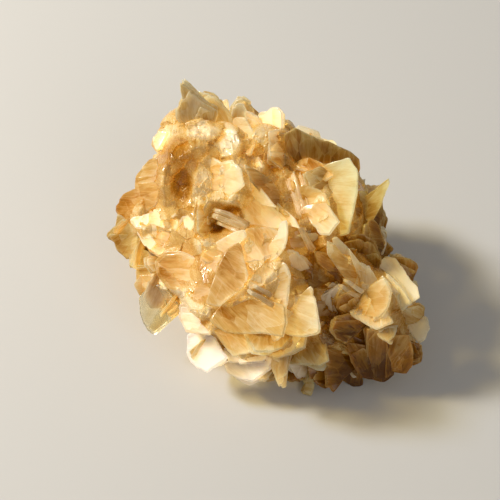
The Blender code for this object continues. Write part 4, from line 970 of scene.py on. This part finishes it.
def faceted(spots, cell, seed):
    """Height and shade of a broken crust, in two or three directions: each seed of a shaken net carries its
    own tilted facet, and a spot belongs to the one of the seeds about it with the highest offset - distance.
    The distance is that of a shard with straight sides, turned at random: 0.75 |along| + the greater of
    |along| and 1.3 |across|. Facet height = cell * (offset + slope . (spot - seed)), and the shade is from
    -1 to 1."""
    rng = np.random.default_rng(seed)
    size = spots.shape[1]
    shake, slopes = rng.uniform(0.1, 0.9, (SHARDS, size)), rng.uniform(-0.55, 0.55, (SHARDS, size))
    offsets, shades = rng.uniform(-0.2, 0.2, SHARDS), rng.uniform(-1, 1, SHARDS)
    frames = np.linalg.qr(rng.normal(size=(SHARDS, size, size)))[0]
    base = np.floor(spots / cell).astype(int)
    best, height, shade = np.full(len(spots), -np.inf), np.zeros(len(spots)), np.zeros(len(spots))
    for step in np.ndindex((3,) * size):
        at = base + np.array(step) - 1
        row = at @ SHARD_ROWS[:size] % SHARDS
        gap = spots / cell - at - shake[row]
        local = np.abs(np.einsum("nij,nj->ni", frames[row], gap))
        rank = offsets[row] - 0.75 * local[:, 0] - np.maximum(local[:, 0], 1.3 * local[:, 1:].max(axis=1))
        nearer = rank > best
        height = np.where(nearer, offsets[row] + (slopes[row] * gap).sum(axis=1), height)
        shade, best = np.where(nearer, shades[row], shade), np.maximum(best, rank)
    return cell * height, shade


def mass_body(seed, rings=160, under=14, points=420):
    """The grown-together mass between the crystals of the display face, on a grid of rings about its middle.

    Front height = least of (closed relief - its depth under it) and (knots + MASS_OVER), plus the crust,
    where the closed relief is the foremost surface with its gaps up to MASS_GAP wide filled. The back lies in
    the knots, and the two meet MASS_INSET inside the outline of the knots."""
    grid = np.arange(-MASS_SPAN, MASS_SPAN + MASS_CELL, MASS_CELL)
    across, above = np.meshgrid(grid, grid, indexing="ij")
    high, knots, tones, depth = face_relief(np.stack([across.ravel(), above.ravel()], 1))
    high, knots = (np.where(np.isfinite(h), h, MASS_LOWEST).reshape(across.shape) for h in (high, knots))
    tones, depth = tones.reshape(across.shape), depth.reshape(across.shape)
    cells = int(round(MASS_GAP / MASS_CELL / 2))
    closed = widest(widest(high, cells, np.maximum), cells, np.minimum)
    top = np.minimum(closed - depth, knots + MASS_OVER)
    for _ in range(MASS_EASE):
        top = (beside(top, 1) + 2 * top) / 6

    rough = 0 * tones
    for x, y, half_x, half_y, over, tone in CRUMBS.values():
        near = np.clip(1.5 - 1.5 * np.hypot((across - x) / half_x, (above - y) / half_y), 0, 1)
        tones, rough = tones + (tone - tones) * near, np.maximum(rough, near)
        crumbs = np.minimum(high, knots + CRUMB_OVER) + over * (2 * near - 1)
        top = np.where(near > 0, np.maximum(top, crumbs), top)
    # Painted shade: each hollow lowers the mass and draws its tone towards the hollow's dark tone.
    for x, y, half_x, half_y, depth, tone in SHADED_HOLLOWS.values():
        near = np.clip(1.6 - 1.6 * np.hypot((across - x) / half_x, (above - y) / half_y), 0, 1)
        tones, top = tones + (tone - tones) * near, top - depth * near
        rough = rough * (1 - near)
    wide = widest(high, 2 * cells, np.maximum)
    for _ in range(WIDE_EASE):
        wide = beside(wide, 2) / 4

    turn = np.arange(points) * 2 * np.pi / points
    ways = np.stack([np.cos(turn), np.sin(turn)], 1)
    along = np.linspace(0, 36, 240)
    spots = MASS_MIDDLE + along[:, None, None] * ways
    solid_here = np.isfinite(knot_relief(sketch_rays(spots.reshape(-1, 2)))).reshape(spots.shape[:2])
    reach = along[len(along) - 1 - solid_here[::-1].argmax(axis=0)] - MASS_INSET
    reach = (np.roll(reach, 1) + np.roll(reach, -1) + reach) / 3
    share = np.concatenate([np.linspace(0, 1, under + 1)[1:], np.linspace(1, 0, rings, endpoint=False)])
    flat = MASS_MIDDLE + (share[:, None] * reach)[..., None] * ways

    def sampled(field, spots):
        """The field between the cells of the grid, in proportion to how near each cell is."""
        at = np.clip((spots - grid[0]) / MASS_CELL, 0, len(grid) - 1.001)
        i, j = np.floor(at).astype(int).T
        u, v = (at - np.floor(at)).T
        near = field[i, j] * (1 - u) * (1 - v) + field[i + 1, j] * u * (1 - v)
        return near + field[i, j + 1] * (1 - u) * v + field[i + 1, j + 1] * u * v

    spots = flat.reshape(-1, 2)
    coarse, shade = faceted(spots, MASS_COARSE[0], seed)
    fine, fine_shade = faceted(spots @ BLADES, MASS_FINE[0], seed + 1)
    front = sampled(top, spots) + MASS_COARSE[1] * coarse
    front = front + fine * (MASS_FINE[1] + CRUMBLE * sampled(rough, spots))
    fall = np.repeat(np.clip((1 - share) * 12, 0, 1) ** 0.5, points)
    bottom = sampled(knots, spots) - MASS_BURIED
    front = np.maximum(bottom + (front - bottom) * fall, bottom + 0.05)
    height = np.where(np.arange(len(spots)) < under * points, bottom, front)
    rays = sketch_rays(spots)

    def at_height(height, rays):
        return EYE + rays * ((EYE_DISTANCE - height) / -(rays @ OUT))[:, None]

    ends = sketch_rays([MASS_MIDDLE, MASS_MIDDLE])
    middle = sampled(knots, MASS_MIDDLE[None])[0]
    poles = at_height(np.array([middle - MASS_BURIED, sampled(top, MASS_MIDDLE[None])[0]]), ends)
    verts = np.concatenate([poles[:1], at_height(height, rays), poles[1:]])
    # Painted shade: the tone grows darker the deeper the mass lies under the crystals about it.
    painted_shade_depth = sampled(wide, spots) - sampled(top, spots)
    tone = sampled(tones, spots) + MASS_SHADE * np.clip(painted_shade_depth - 0.8, 0, 3)
    tone = np.clip(tone + SHADE_COARSE * shade + SHADE_FINE * fine_shade, 0, MASS_DEEPEST)
    tone = np.concatenate([[0.5], tone, [0.5]])
    return verts, skin_faces(1, under + rings, points), crust_values(tone, verts, 0.4)


# Into Blender.


def add_piece(name, parts, material, flat=False):
    """One object from batches of bodies: placed, kept inside the solid model's box and set riding on it. A
    flat piece shows each of its faces plane."""
    verts = np.concatenate([part[0] for part in parts])
    verts = np.clip((verts + PLACE) * MM, CAD_LOW, CAD_HIGH)
    quads, tris, start = [], [], 0
    for part in parts:
        quads.append(part[1][0] + start)
        tris.append(part[1][1] + start)
        start += len(part[0])
    quads, tris = np.concatenate(quads), np.concatenate(tris)
    mesh = bpy.data.meshes.new(name)
    mesh.vertices.add(len(verts))
    mesh.vertices.foreach_set("co", verts.astype(np.float32).ravel())
    mesh.loops.add(quads.size + tris.size)
    mesh.loops.foreach_set("vertex_index", np.concatenate([quads.ravel(), tris.ravel()]).astype(np.int32))
    mesh.polygons.add(len(quads) + len(tris))
    starts = np.concatenate([np.arange(len(quads)) * 4, quads.size + np.arange(len(tris)) * 3])
    mesh.polygons.foreach_set("loop_start", starts.astype(np.int32))
    mesh.polygons.foreach_set("use_smooth", np.full(len(starts), not flat))
    mesh.update(calc_edges=True)
    for key in parts[0][2]:
        values = np.concatenate([part[2][key] for part in parts]).astype(np.float32)
        kind, field = ("FLOAT_VECTOR", "vector") if values.ndim == 2 else ("FLOAT", "value")
        mesh.attributes.new(key, kind, "POINT").data.foreach_set(field, values.ravel())
    mesh.materials.append(material)
    piece = bpy.data.objects.new(name, mesh)
    bpy.context.scene.collection.objects.link(piece)
    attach(piece, "root")
    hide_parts(NODE)
    return piece


# Materials.


class Net:
    """Adds nodes to a node tree: net(type, inputs..., setting=value) links or sets each input in turn."""

    def __init__(self, tree):
        self.tree = tree

    def __call__(self, kind, *inputs, out=0, **settings):
        node = self.tree.nodes.new("ShaderNode" + kind)
        for key, value in settings.items():
            setattr(node, key, value)
        for socket, value in zip(node.inputs, inputs):
            self.put(socket, value)
        return node.outputs[out]

    def put(self, socket, value):
        if isinstance(value, bpy.types.NodeSocket):
            self.tree.links.new(value, socket)
        elif value is not None:
            socket.default_value = value

    def math(self, how, *inputs, clamp=False):
        return self("Math", *inputs, operation=how, use_clamp=clamp)

    def stretch(self, vector, scale):
        """The vector times a scale along each axis."""
        return self("VectorMath", vector, scale, operation="MULTIPLY")

    def noise(self, vector, scale, detail=3.0, rough=0.55):
        node = self.tree.nodes.new("ShaderNodeTexNoise")
        node.normalize = True
        self.put(node.inputs["Vector"], vector)
        for key, value in (("Scale", scale), ("Detail", detail), ("Roughness", rough)):
            node.inputs[key].default_value = value
        return node.outputs["Fac"]

    def cells(self, vector, how):
        """A random value for each cell, or the distance to the nearest border between two."""
        node = self.tree.nodes.new("ShaderNodeTexVoronoi")
        node.feature = how
        self.put(node.inputs["Vector"], vector)
        node.inputs["Scale"].default_value = 1.0
        return node.outputs["Color" if how == "F1" else "Distance"]

    def about(self, value, amount):
        """(value - 1/2) times the amount."""
        return self.math("MULTIPLY", self.math("SUBTRACT", value, 0.5), amount)

    def blend(self, how, share, one, other):
        node = self.tree.nodes.new("ShaderNodeMix")
        node.data_type, node.blend_type = "RGBA", how
        self.put(node.inputs[0], share)
        self.put(node.inputs[6], one)
        self.put(node.inputs[7], other)
        return node.outputs[2]


def solid(colour):
    return (*colour, 1.0)


# Share of a lamp's light that goes through one surface of a crystal.
PASSES, CLEAR_PASSES = (0.90, 0.86, 0.70), (0.90, 0.86, 0.74)
GLOSS = 0.16  # roughness of a clean face
RAMP = ((0.0, "frost"), (0.2, "cream"), (0.46, "honey"), (0.72, "amber"), (1.0, "brown"))


def mica_look():
    """Group shared by the mica materials: colour, roughness and relief from the piece's own values."""
    group = bpy.data.node_groups.new("mica_look", "ShaderNodeTree")
    for label, value, top in (("Clouding", 0.45, 2), ("Streaking", 0.45, 2), ("Frosting", 0.0, 1),
                              ("Depth", 0.0, 1), ("Rim", 0.13, 1), ("Cells", 1.0, 2)):
        socket = group.interface.new_socket(label, in_out="INPUT", socket_type="NodeSocketFloat")
        socket.default_value, socket.min_value, socket.max_value = value, -1.0, top
    group.interface.new_socket("Colour", in_out="OUTPUT", socket_type="NodeSocketColor")
    for label in ("Roughness", "Relief"):
        group.interface.new_socket(label, in_out="OUTPUT", socket_type="NodeSocketFloat")
    net = Net(group)
    given = group.nodes.new("NodeGroupInput").outputs
    tone, cast, rim, root = (net("Attribute", out=2, attribute_name=key) for key in
                             ("tone", "cast", "rim", "root"))
    grain = net("Attribute", out=1, attribute_name="grain")
    place = net.stretch(net("TexCoord", out=3), (1 / MM,) * 3)

    cloud = net.noise(place, 0.22, 4, 0.6)
    veil = net.noise(net.stretch(grain, (0.45, 0.16, 0.3)), 1.0, 4, 0.62)
    fine = net.noise(net.stretch(grain, (3.4, 0.16, 9.0)), 1.0, 3, 0.65)
    coarse = net.noise(net.stretch(grain, (1.7, 0.1, 5.0)), 1.0, 2, 0.5)
    speck = net.noise(place, 3.6, 3, 0.7)
    patch = net.stretch(grain, (0.55, 0.2, 0.4))
    cells, seams = net("SeparateColor", net.cells(patch, "F1")), net.cells(patch, "DISTANCE_TO_EDGE")
    seam = net("MapRange", seams, 0.0, 0.03, 1.0, 0.0)

    deep = net.math("ADD", tone, given["Depth"])
    for pattern, amount, label in ((cloud, 0.8, "Clouding"), (veil, 1.5, "Clouding"),
                                   (fine, 0.95, "Streaking"), (coarse, 0.65, "Streaking"),
                                   (cells, 0.22, "Cells")):
        deep = net.math("ADD", deep, net.math("MULTIPLY", net.about(pattern, amount), given[label]))
    deep = net.math("SUBTRACT", deep, net.math("MULTIPLY", seam, net.math("MULTIPLY", given["Cells"], 0.1)))
    # Darker towards the root of each crystal: partly brown staining, partly painted shade where it goes into
    # the mass.
    deep = net.math("ADD", deep, net.math("MULTIPLY", net.math("SUBTRACT", 0.45, root), 0.34))
    # Paler near the rim: a frosty thin edge, partly a painted highlight of the edge.
    deep = net.math("SUBTRACT", deep, net.math("MULTIPLY", rim, given["Rim"]))
    frost = net.math("MULTIPLY", net("MapRange", speck, 0.5, 0.68, 0.0, 1.0), given["Frosting"])
    deep = net.math("SUBTRACT", deep, net.math("MULTIPLY", frost, 0.3))

    ramp = group.nodes.new("ShaderNodeValToRGB")
    while len(ramp.color_ramp.elements) < len(RAMP):
        ramp.color_ramp.elements.new(0.5)
    for stop, (at, name) in zip(ramp.color_ramp.elements, RAMP):
        stop.position, stop.color = at, solid(getattr(colours(), name))
    net.put(ramp.inputs[0], deep)
    olive = net.blend("MULTIPLY", net("Clamp", cast, 0.0, 1.0), ramp.outputs[0], solid(colours().olive))
    greyed = net.math("MULTIPLY", net("Clamp", cast, -1.0, 0.0), -1.0)
    pale = net.blend("MULTIPLY", 1.0, solid(colours().grey),
                     net("MapRange", deep, 0.0, 1.0, 1.15, 0.4))
    shown = net.blend("MIX", greyed, olive, pale)

    rough = net.math("ADD", GLOSS, net.math("MULTIPLY", frost, 0.5))
    rough = net.math("ADD", rough, net.math("MULTIPLY", rim, 0.1))
    rough = net.math("ADD", rough, net.about(veil, 0.5), clamp=True)
    rough = net.math("MAXIMUM", rough, 0.1)
    relief = net.math("ADD", net.math("MULTIPLY", fine, 0.5), net.math("MULTIPLY", coarse, 0.8))
    relief = net.math("ADD", relief, net.math("MULTIPLY", speck, given["Frosting"]))
    relief = net.math("ADD", relief, net.math("MULTIPLY", cells, given["Cells"]))
    end = group.nodes.new("NodeGroupOutput")
    for socket, value in zip(end.inputs, (shown, rough, relief)):
        net.put(socket, value)
    return group


def mica_material(name, group, amounts, transmission=0.0, subsurface=0.0, bump=0.12, glow=0.0, passes=PASSES):
    """A mica finish: the shared look with its own amounts, and how far light goes into it. The glow is the
    share that shows the light behind it. Rays from a lamp pass each surface with the honey tint in passes, so
    that the leaves behind are lit through it."""
    material = bpy.data.materials.new(name)
    material.use_nodes = True
    net = Net(material.node_tree)
    look = material.node_tree.nodes.new("ShaderNodeGroup")
    look.node_tree = group
    for key, value in amounts.items():
        look.inputs[key].default_value = value
    shader = material.node_tree.nodes["Principled BSDF"].inputs
    net.put(shader["Base Color"], look.outputs["Colour"])
    net.put(shader["Roughness"], look.outputs["Roughness"])
    relief = material.node_tree.nodes.new("ShaderNodeBump")
    relief.inputs["Strength"].default_value = bump
    relief.inputs["Distance"].default_value = 0.1 * MM
    net.put(relief.inputs["Height"], look.outputs["Relief"])
    net.put(shader["Normal"], relief.outputs[0])
    shader["Transmission Weight"].default_value = transmission
    shader["Subsurface Weight"].default_value = subsurface
    shader["Subsurface Radius"].default_value = (1.0, 0.75, 0.5)
    shader["Subsurface Scale"].default_value = 0.5 * MM
    shader["IOR"].default_value = 1.56
    shader["Specular IOR Level"].default_value = 0.27
    shader["Coat Weight"].default_value = 0.3
    shader["Coat Roughness"].default_value = 0.05
    tree = material.node_tree
    lit_through = tree.nodes.new("ShaderNodeBsdfTransparent")
    lit_through.inputs[0].default_value = solid(passes)
    paths, mix = tree.nodes.new("ShaderNodeLightPath"), tree.nodes.new("ShaderNodeMixShader")
    tree.links.new(paths.outputs["Is Shadow Ray"], mix.inputs[0])
    body = tree.nodes["Principled BSDF"]
    if glow:
        lit_behind, body = tree.nodes.new("ShaderNodeBsdfTranslucent"), tree.nodes.new("ShaderNodeMixShader")
        tree.links.new(look.outputs["Colour"], lit_behind.inputs["Color"])
        body.inputs[0].default_value = glow
        tree.links.new(tree.nodes["Principled BSDF"].outputs[0], body.inputs[1])
        tree.links.new(lit_behind.outputs[0], body.inputs[2])
    tree.links.new(body.outputs[0], mix.inputs[1])
    tree.links.new(lit_through.outputs[0], mix.inputs[2])
    tree.links.new(mix.outputs[0], tree.nodes["Material Output"].inputs[0])
    return material


def finish(name):
    """The named mica material, made with the others the first time that one is needed."""
    if name not in bpy.data.materials:
        group = mica_look()
        mica_material("mica_plate", group, {}, transmission=0.25, subsurface=0.3, bump=0.3, glow=0.4)
        mica_material("mica_edges", group, {"Rim": 0.0, "Streaking": 0.6}, transmission=0.25, subsurface=0.3,
                      glow=0.3)
        mica_material("mica_crust", group,
                      {"Clouding": 0.3, "Streaking": 0.3, "Frosting": 0.55, "Cells": 0.0, "Depth": -0.06},
                      subsurface=0.3, bump=0.6, glow=0.3)
        mica_material("mica_clear", group, {"Clouding": 0.25, "Streaking": 0.15, "Cells": 0.25, "Rim": 0.3},
                      transmission=0.85, bump=0.05, passes=CLEAR_PASSES)
    return bpy.data.materials[name]


# Operators.


def region_books(region, leaves=None, sisters=2, layers=2):
    """The crystals of one region, each with sister leaves fanned out behind it and cleavage layers on it."""
    seed = SEEDS[region]
    rng = np.random.default_rng(seed)
    large, small, thin = [], [], []
    for name, (text, lean, toward, thickness, pull, tone, cast) in CRYSTALS[region].items():
        if name in CRUSTED:
            continue
        place = crystal_plane(outline_of(text), lean, toward, pull)
        plate = Plate(*place, SLENDER * thickness, tone, cast, WIDEN)
        large.append(plate)
        small += [plate.twin(rng, order + 1) for order in range(0 if name in SINGLE else sisters)]
        thin += [plate.layer(rng, order + 1) for order in range(0 if name in SMOOTH | SINGLE else layers)]
    parts = [books(large, POINTS["large"], leaves or sizes().book_leaves, seed + 1)]
    if thin:
        parts.append(books(thin, POINTS["small"], 1, seed + 3, THIN_RINGS))
    if small:
        parts.append(books(small, POINTS["small"], 2, seed + 2, SISTER_RINGS))
    return parts


def grow_region(region):
    """One piece with the crystals of a region."""
    add_piece(region, region_books(region), finish("mica_plate"))


class GrowPiece:
    """What the operators that grow a region share."""

    bl_options = {"REGISTER", "UNDO"}


class MICA_OT_knots(GrowPiece, bpy.types.Operator):
    """Grow the round knots that carry everything, and the mass between the crystals"""

    bl_idname = "mica.knots"
    bl_label = "Growth knots"

    def execute(self, context):
        for name, body in (("growth_knots", knot_bodies), ("grown_mass", mass_body)):
            add_piece(name, [body(SEEDS[name])], finish("mica_crust"), flat=True)
        return {"FINISHED"}


class MICA_OT_summit(GrowPiece, bpy.types.Operator):
    """Grow the crystals round the summit and its pocket"""

    bl_idname = "mica.summit"
    bl_label = "Summit"

    def execute(self, context):
        grow_region("summit_plates")
        return {"FINISHED"}


class MICA_OT_left(GrowPiece, bpy.types.Operator):
    """Grow the crystals of the left flank"""

    bl_idname = "mica.left"
    bl_label = "Left flank"

    def execute(self, context):
        grow_region("left_plates")
        return {"FINISHED"}


class MICA_OT_clear(GrowPiece, bpy.types.Operator):
    """Grow the clear leaf that hangs at the lower left"""

    bl_idname = "mica.clear"
    bl_label = "Clear leaf"

    def execute(self, context):
        parts = region_books("clear_plate", leaves=3, sisters=0, layers=1)
        add_piece("clear_plate", parts, finish("mica_clear"))
        return {"FINISHED"}


class MICA_OT_middle(GrowPiece, bpy.types.Operator):
    """Grow the sail and the other crystals of the middle, and the books that are seen on edge"""

    bl_idname = "mica.middle"
    bl_label = "Middle"

    def execute(self, context):
        grow_region("middle_plates")
        edges = [Plate(*book_on_edge(end, start, depth, stand_out), thickness, EDGE_TONE, EDGE_CAST)
                 for end, start, thickness, depth, stand_out in BOOKS.values()]
        parts = [books(edges, POINTS["edge"], EDGE_LEAVES, SEEDS["edge_books"], SISTER_RINGS)]
        add_piece("edge_books", parts, finish("mica_edges"))
        return {"FINISHED"}


class MICA_OT_front(GrowPiece, bpy.types.Operator):
    """Grow the striated fan and the blades of the front, and the petals below them"""

    bl_idname = "mica.front"
    bl_label = "Front"

    def execute(self, context):
        grow_region("front_plates")
        grow_region("low_petals")
        return {"FINISHED"}


class MICA_OT_lobe(GrowPiece, bpy.types.Operator):
    """Grow the rosette of the right lobe"""

    bl_idname = "mica.lobe"
    bl_label = "Right lobe"

    def execute(self, context):
        grow_region("lobe_plates")
        return {"FINISHED"}


class MICA_OT_right(GrowPiece, bpy.types.Operator):
    """Grow the sail and the olive leaves at the right and behind it"""

    bl_idname = "mica.right"
    bl_label = "Right side"

    def execute(self, context):
        grow_region("right_plates")
        return {"FINISHED"}


class MICA_OT_back(GrowPiece, bpy.types.Operator):
    """Grow the leaves behind and below"""

    bl_idname = "mica.back"
    bl_label = "Back"

    def execute(self, context):
        seed = SEEDS["back_leaves"]
        rng = np.random.default_rng(seed)
        leaves = back_leaves(BACK_COUNT, 1.0, BACK_EDGE, 0.0, BACK_RISE)
        leaves += back_leaves(sizes().filler, FILLER_SCALE, FILLER_EDGE, FILLER_SPIN, FILLER_RISE)
        large = [Plate(*leaf, rng.uniform(*BACK_TONES), rng.normal(*BACK_CASTS)) for leaf in leaves]
        small = [plate.twin(rng, 1) for plate in large]
        parts = [books(large, POINTS["back"], 2, seed + 2, BACK_RINGS),
                 books(small, POINTS["back_sister"], 1, seed + 12, BACK_RINGS)]
        add_piece("back_leaves", parts, finish("mica_plate"))
        return {"FINISHED"}


# Lights: the way to each, its distance and width in metres, and its colour.
KEY_LIGHT = ((-0.74, 0.24, 0.63), 0.6, 0.10, (1.0, 0.94, 0.83))
FILL_LIGHT = ((0.5, -0.7, 0.7), 0.8, 0.5, (1.0, 0.96, 0.90))
SKY = (1.0, 0.98, 0.95)
FLOOR_HALF = 3.0  # metres
SENSOR, LENS = 36.0, 112.0  # millimetres


def aimed_light(name, toward, distance, size, colour, power):
    """A square area light that looks at the cluster from a direction."""
    light = bpy.data.lights.new(name, "AREA")
    light.energy, light.size, light.color = power, size, colour
    lamp = bpy.data.objects.new(name, light)
    bpy.context.scene.collection.objects.link(lamp)
    way = Vector(unit(np.array(toward)))
    lamp.location = AIM * MM + np.array(way) * distance
    lamp.rotation_euler = way.to_track_quat("Z", "Y").to_euler()


class MICA_OT_stage(bpy.types.Operator):
    """Set out the floor, the lights and the camera"""

    bl_idname = "mica.stage"
    bl_label = "Stage"

    def execute(self, context):
        scene = context.scene
        mesh = bpy.data.meshes.new("floor")
        corners = [(FLOOR_HALF * x, FLOOR_HALF * y, 0) for x, y in ((-1, -1), (1, -1), (1, 1), (-1, 1))]
        mesh.from_pydata(corners, [], [(0, 1, 2, 3)])
        floor = bpy.data.objects.new("floor", mesh)
        scene.collection.objects.link(floor)
        plain = bpy.data.materials.new("floor")
        plain.use_nodes = True
        looks = plain.node_tree.nodes["Principled BSDF"].inputs
        looks["Base Color"].default_value = solid(colours().floor)
        looks["Roughness"].default_value = 0.8
        mesh.materials.append(plain)
        floor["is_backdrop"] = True
        power = sizes()
        aimed_light("key", *KEY_LIGHT, power.key_power)
        aimed_light("fill", *FILL_LIGHT, power.fill_power)
        world = bpy.data.worlds.new("world")
        world.use_nodes = True
        sky = world.node_tree.nodes["Background"].inputs
        sky["Color"].default_value = solid(SKY)
        sky["Strength"].default_value = power.world_light
        scene.world = world
        scene.view_settings.view_transform = "Standard"
        lens = bpy.data.cameras.new("camera")
        lens.sensor_width, lens.lens, lens.clip_start = SENSOR, LENS, 0.01
        camera = bpy.data.objects.new("camera", lens)
        camera.location = (EYE + PLACE) * MM
        camera.rotation_euler = (math.pi / 2 - EYE_ELEVATION, 0.0, 0.0)
        scene.collection.objects.link(camera)
        scene.camera = camera
        return {"FINISHED"}


STEPS = (MICA_OT_knots, MICA_OT_summit, MICA_OT_left, MICA_OT_clear, MICA_OT_middle,
         MICA_OT_front, MICA_OT_lobe, MICA_OT_right, MICA_OT_back, MICA_OT_stage)


class MICA_PT_cluster(bpy.types.Panel):
    """The cluster's sizes, colours and steps, in the order in which they are run"""

    bl_idname = "MICA_PT_cluster"
    bl_label = "Mica Cluster"
    bl_space_type = "VIEW_3D"
    bl_region_type = "UI"
    bl_category = "Mica Cluster"

    def draw(self, context):
        for group in (sizes(), colours()):
            for key in group.__annotations__:
                self.layout.prop(group, key)
        for step in STEPS:
            self.layout.operator(step.bl_idname)


CLASSES = (MicaSizes, MicaColours, *STEPS, MICA_PT_cluster)


def register():
    for one in CLASSES:
        bpy.utils.register_class(one)
    bpy.types.Scene.mica_sizes = bpy.props.PointerProperty(type=MicaSizes)
    bpy.types.Scene.mica_colours = bpy.props.PointerProperty(type=MicaColours)


def unregister():
    del bpy.types.Scene.mica_colours, bpy.types.Scene.mica_sizes
    for one in reversed(CLASSES):
        bpy.utils.unregister_class(one)


def main():
    register()
    for step in STEPS:
        family, action = step.bl_idname.split(".")
        getattr(getattr(bpy.ops, family), action)()


if __name__ == "__main__":
    main()
